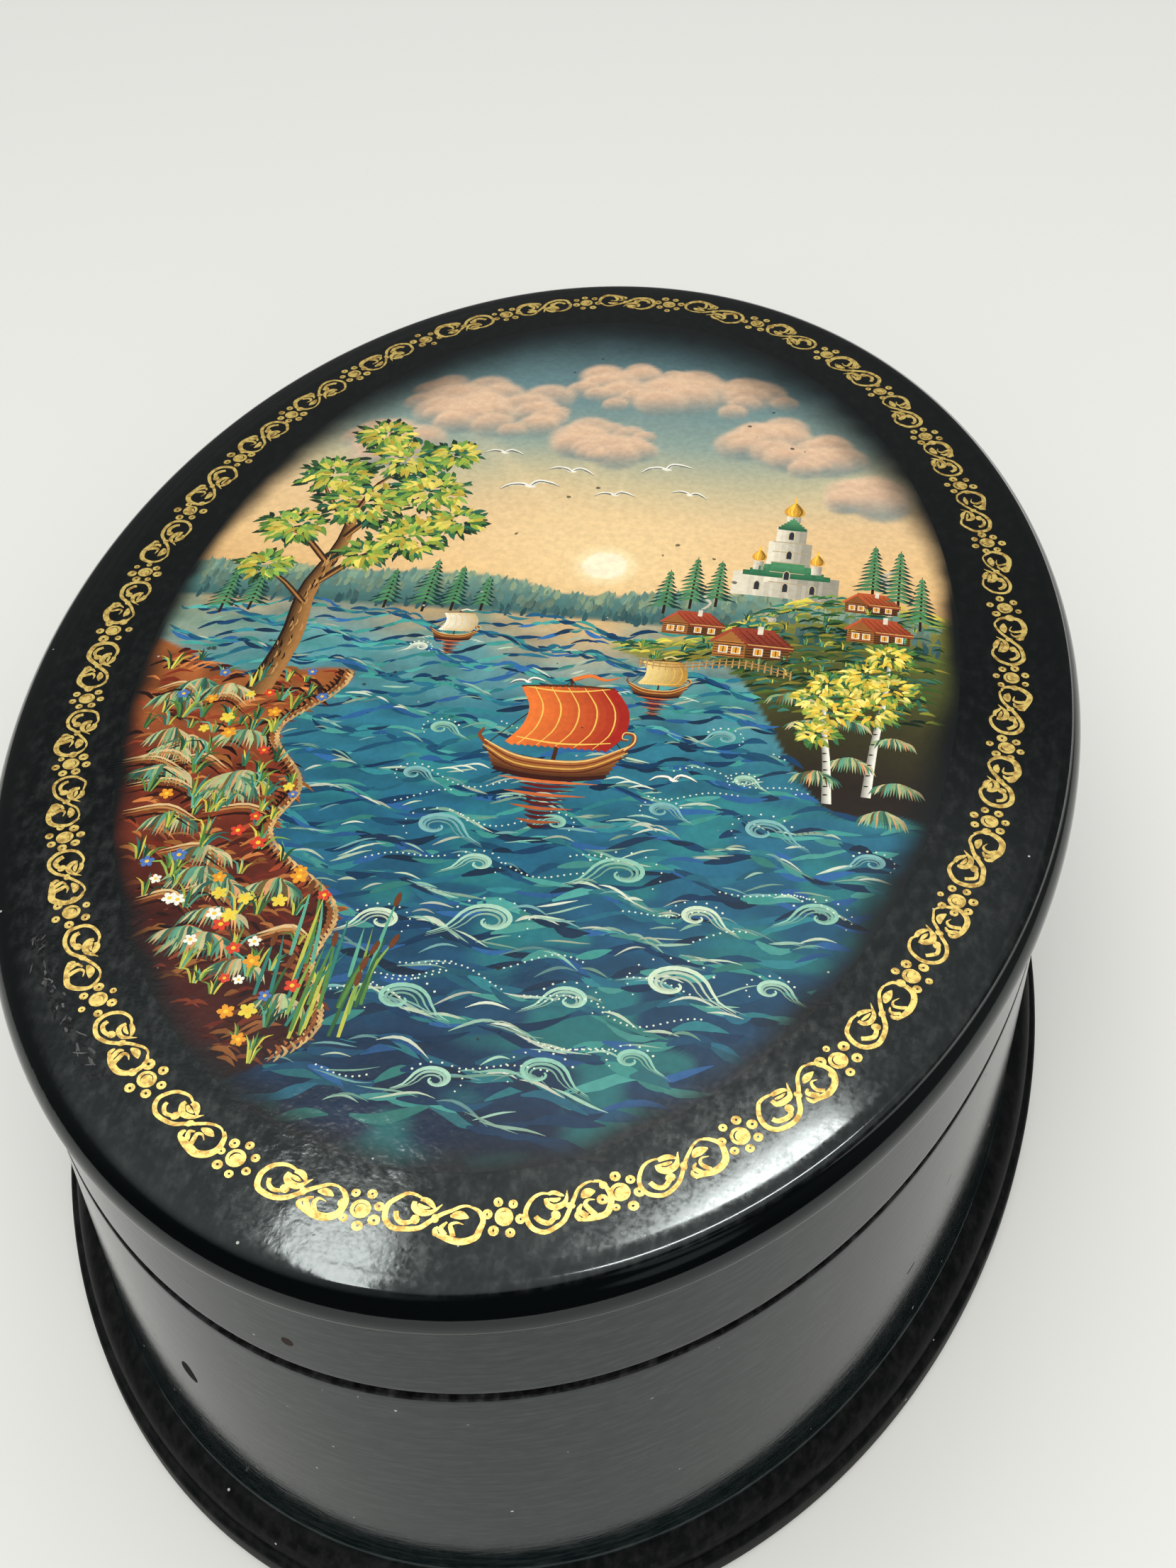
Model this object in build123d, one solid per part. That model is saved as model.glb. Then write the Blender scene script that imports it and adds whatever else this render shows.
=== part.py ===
# Oval papier-mache lacquer box with a lift-off lid.
# The origin is the middle of the flat underside, +Y runs along the long axis and +Z points up.
# All sizes are in millimetres.
from build123d import *
from math import atan2, cos, degrees, radians, sin, tan
import os

# Overall form
lid_length = 130.0
lid_width = 90.0
seam_height = 31.3
lid_wall_height = 8.5
lid_overhang = 1.0

# Walls, which are wound tubes of pasted board
wall_thickness = 3.0
base_rebate_height = 0.45
base_rebate_depth = 0.5
lid_lip_radius = 0.3
lid_mouth_bevel = 0.6

# Lid plate, a pressed board with a low crown and a moulded edge
plate_edge_height = 2.5
edge_band_width = 3.0
edge_band_rise = 1.05
edge_upper_radius = 1.5
edge_lower_radius = 1.1
crown_rise = 1.4
plate_hollow_step = 0.2
plate_hollow_rise = 1.3

# Inner sleeve, which stands up past the seam and centres the lid
sleeve_thickness = 1.8
sleeve_rise = 4.6
sleeve_lid_clearance = 0.3
sleeve_top_bevel = 0.7
sleeve_mouth_radius = 0.5

# Floor board inside the base
floor_thickness = 2.4

# Foot plate with its moulded edge
foot_height = 5.1
foot_spread = 2.8
foot_step_height = 2.3
foot_step_depth = 0.2
foot_round_radius = 2.1
foot_step_radius = 0.3
foot_lower_radius = 0.8

# Sizes and heights that follow from the ones above
wall_length = lid_length - 2 * lid_overhang
wall_width = lid_width - 2 * lid_overhang
foot_length = wall_length + 2 * foot_spread
foot_width = wall_width + 2 * foot_spread
plate_under = seam_height + lid_wall_height
plate_band_low = plate_under + plate_edge_height
shoulder_top = plate_band_low + edge_band_rise
lid_top = shoulder_top + crown_rise
floor_top = foot_height + floor_thickness
sleeve_top = seam_height + sleeve_rise
band_slope = degrees(atan2(edge_band_rise, edge_band_width))

# How many flat strips stand for a rounded edge, and for a very small one
edge_strips = 3
lip_strips = 2

os.makedirs("parts", exist_ok=True)


def oval(inset, height, length, width):
    """An ellipse lying flat at a height, its outline drawn in by an inset."""
    return Pos(0, 0, height) * Ellipse(width / 2 - inset, length / 2 - inset)


def moulded(profile, length=wall_length, width=wall_width):
    """A solid oval whose edge follows a profile of insets and heights, from the bottom up."""
    return loft([oval(inset, height, length, width) for inset, height in profile], ruled=True)


def rounded(inset, height, radius, start, end, strips=edge_strips):
    """Points of a round edge about its centre, by angles from level, down being negative."""
    turns = [radians(start + (end - start) * i / strips) for i in range(strips + 1)]
    return [(inset - radius * cos(turn), height + radius * sin(turn)) for turn in turns]


def domed(inset, rise, top):
    """A thick ring lying on its side: its top is a low dome that rises over the lid's oval."""
    bend_along = (lid_length / 2 - inset) ** 2 / (2 * rise)
    bend_across = (lid_width / 2 - inset) ** 2 / (2 * rise)
    ring = Torus(bend_along - bend_across, bend_across)
    return Pos(0, 0, top - bend_along) * Rot(0, 90, 0) * ring


def make_lid_plate():
    """The lid's top: crowned above, with a sloping band and a rounded edge."""
    upper_centre = plate_band_low - edge_upper_radius * tan(radians(45 - band_slope / 2))
    lower = rounded(edge_lower_radius, plate_under + edge_lower_radius, edge_lower_radius, -90, 0)
    upper = rounded(edge_upper_radius, upper_centre, edge_upper_radius, 0, 90 - band_slope)
    slope_inset = edge_band_width * (lid_top - plate_band_low) / edge_band_rise
    blank = moulded(lower + upper + [(slope_inset, lid_top)], lid_length, lid_width)
    hollow_inset = wall_thickness + lid_overhang
    hollow_top = plate_under + plate_hollow_step + plate_hollow_rise
    core = moulded([(hollow_inset, plate_under), (hollow_inset, lid_top)], lid_length, lid_width)
    hollow = core & domed(hollow_inset, plate_hollow_rise, hollow_top)
    return (blank & domed(edge_band_width, crown_rise, lid_top)) - hollow


def make_lid_wall():
    """The lid's shallow wall, a slice of wound tube glued under the plate."""
    inner = wall_thickness - sleeve_lid_clearance
    lip = rounded(lid_lip_radius, seam_height + lid_lip_radius, lid_lip_radius,
                  -90, 0, lip_strips)
    mouth = [(inner - lid_mouth_bevel, seam_height), (inner, seam_height + lid_mouth_bevel)]
    return moulded(lip + [(0, plate_under)]) - moulded(mouth + [(inner, plate_under)])


def make_base_wall():
    """The base's wall, a longer slice of the same tube with a fine rebate under the seam."""
    rebate_low = seam_height - base_rebate_height
    wall = moulded([(0, foot_height), (0, rebate_low)])
    rebate = moulded([(base_rebate_depth, rebate_low), (base_rebate_depth, seam_height)])
    return wall + rebate - moulded([(wall_thickness, foot_height), (wall_thickness, seam_height)])


def make_inner_sleeve():
    """The thin sleeve glued inside the base, whose top centres the lid."""
    outer = wall_thickness
    inner = wall_thickness + sleeve_thickness
    bevel = [(outer, sleeve_top - sleeve_top_bevel), (outer + sleeve_top_bevel, sleeve_top)]
    mouth = rounded(inner - sleeve_mouth_radius, sleeve_top - sleeve_mouth_radius,
                    sleeve_mouth_radius, 180, 90, lip_strips)
    return moulded([(outer, floor_top)] + bevel) - moulded([(inner, floor_top)] + mouth)


def make_base_floor():
    """The oval board that closes the base inside the wall, under the sleeve."""
    return moulded([(wall_thickness, foot_height), (wall_thickness, floor_top)])


def make_foot_plate():
    """The foot: a pressed board wider than the wall, its edge stepped and rounded."""
    lower = rounded(foot_lower_radius, foot_lower_radius, foot_lower_radius, -90, 0)
    step = rounded(foot_step_radius, foot_step_height - foot_step_radius, foot_step_radius,
                   0, 90, lip_strips)
    top = rounded(foot_step_depth + foot_round_radius, foot_height - foot_round_radius,
                  foot_round_radius, 0, 90)
    board = moulded(lower + step, foot_length, foot_width)
    return board + moulded([(foot_step_depth, foot_step_height)] + top, foot_length, foot_width)


pieces = {
    "lid_plate": make_lid_plate(),
    "lid_wall": make_lid_wall(),
    "inner_sleeve": make_inner_sleeve(),
    "base_wall": make_base_wall(),
    "base_floor": make_base_floor(),
    "foot_plate": make_foot_plate(),
}

for name, piece in pieces.items():
    export_step(piece, f"parts/{name}.step")
    size = piece.bounding_box().size
    print(f"{name}: {size.X:.1f} x {size.Y:.1f} x {size.Z:.1f} mm, {piece.volume / 1000:.1f} cm3")
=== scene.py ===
# %% [markdown]
# # An oval lacquer box, dressed around its fixed frame
# The box is pasted board under many coats of varnish: black outside, red inside, with a painted lid.
# The frame gives every body its place, so each visible piece is modelled at its real place in metres.
# Sizes are written in millimetres, as a box maker would say them, and turned into metres in one place.

# %% The frame and its box
import bpy
import numpy as np
from math import atan2, cos, pi, radians, sin, sqrt, tan
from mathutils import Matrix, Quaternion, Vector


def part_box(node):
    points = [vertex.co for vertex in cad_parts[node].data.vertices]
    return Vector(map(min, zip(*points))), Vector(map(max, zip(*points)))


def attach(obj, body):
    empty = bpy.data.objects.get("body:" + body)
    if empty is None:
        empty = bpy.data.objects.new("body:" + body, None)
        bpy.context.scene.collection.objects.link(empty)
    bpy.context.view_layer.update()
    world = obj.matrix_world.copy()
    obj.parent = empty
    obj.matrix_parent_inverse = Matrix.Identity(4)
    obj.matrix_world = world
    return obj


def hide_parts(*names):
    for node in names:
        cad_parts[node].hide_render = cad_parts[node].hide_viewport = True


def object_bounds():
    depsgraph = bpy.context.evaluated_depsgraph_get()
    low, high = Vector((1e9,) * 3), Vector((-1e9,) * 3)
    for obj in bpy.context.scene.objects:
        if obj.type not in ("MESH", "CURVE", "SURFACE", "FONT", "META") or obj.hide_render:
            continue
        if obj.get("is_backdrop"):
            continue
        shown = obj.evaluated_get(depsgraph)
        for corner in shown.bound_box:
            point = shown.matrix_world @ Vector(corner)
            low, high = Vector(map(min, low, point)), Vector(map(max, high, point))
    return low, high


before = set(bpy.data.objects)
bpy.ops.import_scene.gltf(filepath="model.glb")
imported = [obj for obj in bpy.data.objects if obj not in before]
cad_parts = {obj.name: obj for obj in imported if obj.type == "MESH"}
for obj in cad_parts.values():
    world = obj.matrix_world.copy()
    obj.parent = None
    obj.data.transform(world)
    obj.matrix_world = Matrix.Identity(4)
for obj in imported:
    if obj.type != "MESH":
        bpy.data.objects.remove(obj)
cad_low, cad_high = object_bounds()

MM = 0.001
print("frame from", [round(v / MM, 2) for v in cad_low], "to", [round(v / MM, 2) for v in cad_high], "mm")

# %% [markdown]
# ## Where things are
# The outlines are ovals, so a ring of any piece is told by how far it is drawn in and how high it lies.
# The heights come from the frame, so that the dressed pieces sit where the solids do.

# %% Outlines and heights of the box


def corner(node_name):
    """The highest corner of a solid, in millimetres."""
    return [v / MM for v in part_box(node_name)[1]]


lid_half, wall_half, foot_half = (corner(name)[:2] for name in ("lid_plate", "base_wall", "foot_plate"))
lid_top, plate_under, sleeve_top, floor_top, foot_top = (
    corner(name)[2] for name in ("lid_plate", "lid_wall", "inner_sleeve", "base_floor", "foot_plate")
)
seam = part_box("lid_wall")[0].z / MM

paint_room = 0.07
band_width, crown_rise, band_rise = 1.9, 1.4, 0.66
shoulder = lid_top - crown_rise
band_low = shoulder - band_rise
crown_top = lid_top - paint_room
crown_half = (lid_half[0] - band_width, lid_half[1] - band_width)


def crown_height(x, y):
    """Height of the lid's low dome over a point of the oval, in millimetres."""
    out = (x / crown_half[0]) ** 2 + (y / crown_half[1]) ** 2
    return crown_top - (crown_top - shoulder) * out


print("seam", round(seam, 2), "shoulder", round(shoulder, 2), "crown", round(crown_top, 2))

# %% [markdown]
# ## The floor
# The box stands on a plain pale table that fills the whole view. It is a wide plane, and not part of the
# box. Its colour is the table's own pale grey, and the light is kept at the level that shows it so.

# %% The pale table


def material_of(name, colour, roughness):
    """A material with its colour and roughness on the shader itself, its node tree and its shader."""
    material = bpy.data.materials.new(name)
    material.use_nodes = True
    surface = material.node_tree.nodes["Principled BSDF"]
    surface.inputs["Base Color"].default_value = (*colour, 1)
    surface.inputs["Roughness"].default_value = roughness
    return material, material.node_tree, surface


table_size = 4.0
bpy.ops.object.select_all(action="DESELECT")
bpy.ops.mesh.primitive_plane_add(size=table_size)
table = bpy.context.object
table.name = "pale_table"
table.data.materials.append(material_of("pale_table", (0.79, 0.797, 0.778), 0.6)[0])
table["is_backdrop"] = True
print("table", [round(v, 2) for v in table.dimensions])

# %% [markdown]
# ## The camera
# The view is close and steep, with the long axis of the box leaning a little to the right. The place, the
# tilt and the lens were found by fitting the outlines of the lid, the seam and the foot.

# %% The camera at its fitted place
camera_place = (24.684, -122.612, 145.531)
camera_tilt, camera_turn, camera_roll = 43.505, 10.162, -1.664
lens_length, sensor_height, nearest = 42.709, 36.0, 0.005
camera_data = bpy.data.cameras.new("camera")
camera_data.sensor_fit = "VERTICAL"
camera_data.sensor_height = sensor_height
camera_data.lens = lens_length
camera_data.clip_start = nearest
camera = bpy.data.objects.new("camera", camera_data)
bpy.context.scene.collection.objects.link(camera)
camera.location = [v * MM for v in camera_place]
camera.rotation_mode = "QUATERNION"
camera.rotation_quaternion = (
    Quaternion((0, 0, 1), radians(camera_turn))
    @ Quaternion((1, 0, 0), radians(90 - camera_tilt))
    @ Quaternion((0, 0, 1), radians(camera_roll))
)
bpy.context.scene.camera = camera
bpy.context.scene.view_settings.view_transform = "Standard"
print("camera at", camera_place, "mm")

# %% [markdown]
# ## Small helpers for shader nodes
# Every finish here is a small tree of nodes. Adding a node, giving it numbers or joining it to another is
# the same few lines each time, so they are put into short functions first. A socket knows its own tree, so
# most of them find the tree by the sockets that they are given.

# %% Adding and joining shader nodes


def node(tree, kind, inputs=None, **settings):
    """Adds a shader node, with its settings, and its inputs as numbers, colours or other outputs."""
    made = tree.nodes.new("ShaderNode" + kind)
    for name, value in settings.items():
        setattr(made, name, value)
    for key, value in (inputs or {}).items():
        if isinstance(value, bpy.types.NodeSocket):
            tree.links.new(value, made.inputs[key])
        elif made.inputs[key].type == "RGBA":
            made.inputs[key].default_value = (*value, 1)
        else:
            made.inputs[key].default_value = value
    return made


def tree_of(*values):
    """The node tree of the first socket among some values."""
    return next(value.id_data for value in values if isinstance(value, bpy.types.NodeSocket))


def sums(operation, first, *others):
    """Arithmetic on numbers that change over the surface, from left to right."""
    for other in others:
        numbers = {0: first, 1: other}
        first = node(tree_of(first, other), "Math", numbers, operation=operation).outputs[0]
    return first


def plus(*values):
    """The sum of some values."""
    return sums("ADD", *values)


def times(*values):
    """The product of some values."""
    return sums("MULTIPLY", *values)


def eased(value, low, high, start=0.0, end=1.0):
    """Goes smoothly from start to end while a value goes from low to high."""
    limits = {"Value": value, "From Min": low, "From Max": high, "To Min": start, "To Max": end}
    return node(tree_of(value), "MapRange", limits, interpolation_type="SMOOTHSTEP").outputs[0]


def blended(share, first, second):
    """Lays a second colour over a first one by a share."""
    return node(tree_of(share), "Mix", {0: share, 6: first, 7: second}, data_type="RGBA").outputs[2]


def stretched(place, factors):
    """A place with its three coordinates multiplied, for long marks."""
    return node(tree_of(place), "VectorMath", {0: place, 1: factors}, operation="MULTIPLY").outputs[0]


def noise(place, scale, detail=2.0, roughness=0.5):
    """Soft irregular grain, told by its scale per millimetre."""
    limits = {"Vector": place, "Scale": scale, "Detail": detail, "Roughness": roughness}
    return node(tree_of(place), "TexNoise", limits).outputs["Fac"]


def millimetres(tree):
    """The piece's own coordinates in millimetres."""
    return stretched(node(tree, "TexCoord").outputs["Object"], (1 / MM,) * 3)


def group_of(name, inputs, outputs):
    """An empty node group with named number sockets, and its two end nodes."""
    tree = bpy.data.node_groups.new(name, "ShaderNodeTree")
    for label, value in inputs.items():
        socket = tree.interface.new_socket(label, in_out="INPUT", socket_type="NodeSocketFloat")
        socket.default_value = value
    for label in outputs:
        tree.interface.new_socket(label, in_out="OUTPUT", socket_type="NodeSocketFloat")
    return tree, tree.nodes.new("NodeGroupInput").outputs, tree.nodes.new("NodeGroupOutput").inputs


# %% [markdown]
# ## Light
# The room over the table is dim and darkest behind the viewer, with a brighter ceiling and two soft lamps.
# The lid mirrors the dim part, so it stays black, and its crease and sloping band mirror the lamps, which
# gives the bright marks at the front. The walls mirror the pale table, which is why black varnish looks
# grey there. A wide fill over everything and a leaning one behind the viewer make the shadows almost
# vanish. The fills are left out of mirror images, as they would spoil the black, and the two lamps are
# only there to be mirrored.

# %% The room
world = bpy.data.worlds.new("room")
world.use_nodes = True
bpy.context.scene.world = world
sky = world.node_tree
direction = node(sky, "TexCoord").outputs["Generated"]
table_seen, room_colour = 0.8, (0.985, 1.0, 0.99, 1)


def lit_side(way, *limits):
    """Light from one side of the room: a direction, two closenesses to it, and a light for each."""
    toward = node(sky, "VectorMath", {0: direction, 1: way}, operation="DOT_PRODUCT").outputs["Value"]
    return eased(toward, *limits)


ceiling = lit_side((-0.24, 0.12, 0.963), 0.80, 0.985, 0.0, 0.78)
back_of_room = lit_side((0, 1, 0), -0.45, 0.35, 0.012, 0.16)
right_window = lit_side((0.60, -0.48, 0.64), 0.972, 0.995, 0.0, 0.35)
lamp_glow = lit_side((0.10, 0.52, 0.85), 0.95, 0.995, 0.0, 0.45)
room_light = plus(plus(ceiling, back_of_room), plus(right_window, lamp_glow))
seen = node(sky, "LightPath").outputs["Is Camera Ray"]
strength = node(sky, "Mix", {0: seen, 2: room_light, 3: table_seen}, data_type="FLOAT").outputs[0]
sky.links.new(strength, sky.nodes["Background"].inputs["Strength"])
sky.nodes["Background"].inputs["Color"].default_value = room_colour
print("room with", len(sky.nodes), "nodes")

# %% Two soft lamps and two fills


def soft_lamp(name, place, size, brightness, is_fill, lean=0, turn=0):
    """A flat lamp, by its place and size in metres. A fill lights things, and a lamp is mirrored."""
    lamp = bpy.data.lights.new(name, "AREA")
    lamp.shape = "RECTANGLE"
    lamp.size, lamp.size_y = size
    lamp.energy = brightness * pi * size[0] * size[1]
    lamp.color = (1.0, 0.985, 0.95)
    holder = bpy.data.objects.new(name, lamp)
    holder.location = place
    holder.rotation_euler = (radians(lean), 0, radians(turn))
    holder.visible_glossy = not is_fill
    holder.visible_diffuse = is_fill
    bpy.context.scene.collection.objects.link(holder)


soft_lamp("left_lamp", (-0.268, 0.107, 1.0), (0.090, 0.68), 16.0, False)
soft_lamp("right_lamp", (0.042, 0.480, 1.0), (0.26, 0.036), 42.0, False, turn=45)
soft_lamp("wide_fill", (0.3, 0, 1.4), (3.2, 3.2), 0.66, True)
soft_lamp("front_fill", (0.25, -1.1, 1.1), (1.8, 1.2), 3.15, True, lean=45)

# %% [markdown]
# ## The varnish
# Brushed and hand rubbed varnish is never flat. It has a long soft wave, an orange peel that grows towards
# the front and the left, rub marks that run round the walls with a slant, paler streaks along them that are
# painted sheen, a grey film of wear, and specks of dust. They are one node group, because the black, the red,
# the painted and the gilded parts all lie under the same coat.

# %% Node group: the skin of the varnish
skin, given, out = group_of(
    "varnish_skin",
    {"Wave": 0.03, "Peel": 0.002, "Rub": 0.0006, "Wear": 0.5, "Streaks": 0.0, "Worn above": -10.0},
    ("Height", "Roughness", "Film and sheen", "Dust"),
)
place = millimetres(skin)
across, along, upward = node(skin, "SeparateXYZ", {0: place}).outputs
slant = {"Vector": place, "Angle": radians(-10)}
slanted = node(skin, "VectorRotate", slant, rotation_type="X_AXIS").outputs[0]
wave = times(noise(place, 0.05, 1.0), given["Wave"])
patches = eased(noise(place, 0.13), 0.35, 0.65, 0.35, 1.0)
front = eased(along, -52.0, 12.0, 1.0, 0.12)
left_half = eased(across, 2.0, 14.0, 1.0, 0.08)
off_rim = eased(along, -60.0, -54.0, 0.35, 1.0)
thickness = times(times(patches, front, given["Peel"]), times(left_half, off_rim))
peel = times(plus(noise(place, 0.95), times(noise(place, 3.4), 0.22)), thickness)
rub_grain = noise(stretched(slanted, (0.42, 0.42, 2.7)), 1.0, 4.0, 0.62)
height = plus(wave, peel, times(rub_grain, given["Rub"]))
film_grain = eased(noise(stretched(place, (1.3, 0.75, 1.0)), 1.0, 5.0, 0.6), 0.38, 0.88)
worn = eased(sums("SUBTRACT", upward, given["Worn above"]), -0.3, 0.2)
# The streaks along the rub grain lighten the colour: painted sheen, for the streaky brightness of the walls'
# reflection.
sheen_streaks = times(eased(rub_grain, 0.40, 0.70), given["Streaks"])
film_and_sheen = plus(times(film_grain, given["Wear"], front, worn), sheen_streaks)
fine = eased(noise(place, 2.6, 3.0, 0.6), 0.3, 0.7, 0.0, 0.05)
gloss = plus(fine, 0.055, times(film_and_sheen, 0.06))
cells = node(skin, "TexVoronoi", {"Vector": place, "Scale": 0.42}).outputs
chance = node(skin, "SeparateColor", {0: cells["Color"]}).outputs["Red"]
dust = sums("LESS_THAN", cells["Distance"], eased(chance, 0.55, 1.0, 0.0, 0.055))
for label, value in (("Height", height), ("Roughness", gloss), ("Film and sheen", film_and_sheen), ("Dust", dust)):
    skin.links.new(value, out[label])
print("varnish group with", len(skin.nodes), "nodes")

# %% [markdown]
# ## Black and red lacquer
# The black is lamp black in oil, a little blue where the light falls on it, and browner on the foot, where
# the coats are thinner. The inside is the usual red. Each material takes the varnish group with its own
# values.

# %% Lacquer finishes
dust_grey = (0.42, 0.43, 0.41)
lid_wave, lid_peel = 0.015, 0.024


def varnished(tree, surface, wave, peel, rub, wear, sheen_streaks=0.0, worn_above=-10.0, relief=None):
    """Puts the varnish and a relief of its own over a shader, and gives the varnish group's outputs."""
    values = {"Wave": wave, "Peel": peel, "Rub": rub, "Wear": wear}
    values.update({"Streaks": sheen_streaks, "Worn above": worn_above})
    coat = node(tree, "Group", values, node_tree=skin).outputs
    height = coat["Height"] if relief is None else plus(coat["Height"], relief)
    bump = node(tree, "Bump", {"Strength": 1.0, "Distance": MM, "Height": height})
    tree.links.new(bump.outputs[0], surface.inputs["Normal"])
    return coat


def lacquer(name, colour, film_and_sheen_colour, *coat_values, worn_above=-10.0, dullness=0.0, index=1.5):
    """Varnish over one colour, with its film of wear, its painted sheen streaks and its dust."""
    material, tree, surface = material_of(name, colour, 0.08)
    surface.inputs["IOR"].default_value = index
    surface.inputs["Specular Tint"].default_value = (0.90, 1.0, 1.0, 1)
    coat = varnished(tree, surface, *coat_values, worn_above=worn_above)
    dusty = blended(coat["Dust"], blended(coat["Film and sheen"], colour, film_and_sheen_colour), dust_grey)
    tree.links.new(dusty, surface.inputs["Base Color"])
    rough = plus(coat["Roughness"], times(coat["Dust"], 0.5), dullness)
    tree.links.new(rough, surface.inputs["Roughness"])
    return material


# A name, the colour, the film and sheen colour, then the varnish's wave, peel, rub, wear and painted sheen
# streaks
lid_black = lacquer(
    "lid_black_lacquer", (0.0015, 0.0022, 0.0024), (0.040, 0.045, 0.044),
    lid_wave, lid_peel, 0.0, 1.0, worn_above=shoulder,
)
wall_black = lacquer(
    "wall_black_lacquer", (0.0030, 0.0066, 0.0072), (0.034, 0.041, 0.041),
    0.035, 0.0014, 0.0110, 0.22, 0.42, dullness=0.02, index=1.40,
)
foot_black = lacquer(
    "foot_black_lacquer", (0.0036, 0.0046, 0.0047), (0.020, 0.0205, 0.019),
    0.04, 0.0020, 0.0080, 0.7, 0.30, dullness=0.36, index=1.14,
)
# The seam's black is darker and duller and mirrors less: painted shade for the gap between lid and base.
seam_shade_black = lacquer(
    "seam_shaded_lacquer", (0.003, 0.0034, 0.0034), (0.045, 0.046, 0.045),
    0.02, 0.0030, 0.0030, 0.8, 0.2, dullness=0.30, index=1.25,
)
red_inside = lacquer("red_lacquer", (0.34, 0.021, 0.015), (0.24, 0.03, 0.02), 0.03, 0.0016, 0.0008, 0.5)
print("lacquers:", [m.name for m in (lid_black, wall_black, foot_black, seam_shade_black, red_inside)])

# %% [markdown]
# ## Following a profile round an oval
# A wound and pressed box has the same section all the way round. So a piece starts as a circle of edges,
# is drawn out to the first oval, and is extruded ring by ring along its profile. Poles are filled, and a
# hollow piece is bridged to its own first ring. This is quicker to change than a carved block.

# %% Helper: an oval piece from its rings
sides = 288


def rings_at(half, profile):
    """Rings from pairs of inset and height, on an outline."""
    return [(half[0] - inset, half[1] - inset, height) for inset, height in profile]


def rings_within(half, shares, height_at):
    """Rings from shares of an outline, each at the height that a function gives for its share."""
    return [(half[0] * t, half[1] * t, height_at(t)) for t in shares]


def rounded(inset, height, radius, start, end, steps):
    """Pairs round an edge, by angles from level: 0 faces out, 90 faces up."""
    turns = np.radians(np.linspace(start, end, steps))
    return [(inset - radius * cos(t), height + radius * sin(t)) for t in turns]


def outward_faces(sharp):
    """Turns all faces outwards, leaves edit mode and smooths the edges under an angle in degrees."""
    bpy.ops.mesh.select_all(action="SELECT")
    bpy.ops.mesh.normals_make_consistent(inside=False)
    bpy.ops.object.mode_set(mode="OBJECT")
    bpy.ops.object.shade_smooth_by_angle(angle=radians(sharp))


def oval_piece(name, rings, hollow=False):
    """Extrudes an oval along its rings, then closes it at its poles, or on itself if it is hollow."""
    bpy.ops.object.select_all(action="DESELECT")
    bpy.ops.mesh.primitive_circle_add(vertices=sides, radius=1)
    piece = bpy.context.object
    piece.name = piece.data.name = name
    bpy.ops.object.mode_set(mode="EDIT")
    across, along, height = rings[0]
    bpy.ops.transform.resize(value=(across * MM, along * MM, 1), center_override=(0, 0, 0))
    bpy.ops.transform.translate(value=(0, 0, height * MM))
    for ring in rings[1:]:
        rise = (0, 0, (ring[2] - height) * MM)
        bpy.ops.mesh.extrude_edges_move(TRANSFORM_OT_translate={"value": rise})
        shape = (ring[0] / across, ring[1] / along, 1)
        bpy.ops.transform.resize(value=shape, center_override=(0, 0, 0))
        across, along, height = ring
    if hollow:
        bpy.ops.mesh.select_all(action="DESELECT")
        bpy.ops.mesh.select_non_manifold()
        bpy.ops.mesh.bridge_edge_loops()
    else:
        bpy.ops.mesh.select_all(action="SELECT")
        bpy.ops.mesh.fill_holes(sides=0)
    outward_faces(32)
    return piece


def settle(piece, body, slot, *replaced):
    """Gives a piece to its body and hides the solids that it stands for. The slot is not used."""
    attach(piece, body)
    if replaced:
        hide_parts(*replaced)
    print(piece.name, "on", body, "with", len(piece.data.polygons), "faces")


def finish_faces(piece, finishes, choice):
    """Several materials on one piece: a test of each face's middle tells which one it gets."""
    for finish in finishes:
        piece.data.materials.append(finish)
    for face in piece.data.polygons:
        x, y, z = face.center / MM
        face.material_index = int(choice(x, y, z, face.normal.z))


def drawn_in(half, x, y):
    """About how far inside an oval outline a point lies, in millimetres."""
    return (1 - sqrt((x / half[0]) ** 2 + (y / half[1]) ** 2)) * half[0]


# %% [markdown]
# ## The lid plate
# The top is a pressed board: a low dome, a crease a little inside the rim, a narrow sloping band and a
# rounded edge. Seen from the front the crease catches the lamp, so it gets its own small rounding. It was
# pressed a little off the middle, so the band is wider at the left than at the right and the front.

# %% The lid plate, from its hollow underside to its crown
hollow_inset, hollow_low, hollow_rise = 4.0, plate_under + 0.2, 1.3
hollow_half = (lid_half[0] - hollow_inset, lid_half[1] - hollow_inset)
band_slope = atan2(band_rise, band_width)
edge_radius, under_radius, crease_room = 2.1, 0.8, 0.35
lip_under = plate_under + 0.6
edge_centre = band_low - edge_radius * tan(pi / 4 - band_slope / 2)
band_inset = band_width - crease_room
under_rings = rings_within(
    hollow_half, np.linspace(0.01, 1, 14), lambda t: hollow_low + hollow_rise * (1 - t * t)
)
edge_profile = [(inset, plate_under) for inset in (hollow_inset, 2.6, 1.28)] + [(1.24, lip_under)]
edge_profile += rounded(under_radius, lip_under + under_radius, under_radius, -90, 0, 11)
edge_profile += rounded(edge_radius, edge_centre, edge_radius, 0, 90 - np.degrees(band_slope), 14)
edge_profile += [(inset, band_low + band_rise * inset / band_width) for inset in (1.45, 1.5, band_inset)]
crown_rings = rings_within(
    crown_half, (0.984, 0.97, 0.95, *np.linspace(0.92, 0.04, 23), 0.01),
    lambda t: crown_height(crown_half[0] * t, 0),
)
band_end, crease = np.array(rings_at(
    lid_half, [(band_inset, shoulder - crease_room * tan(band_slope)), (band_width, shoulder)]
))
crown_start = np.array(crown_rings[0])
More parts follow.
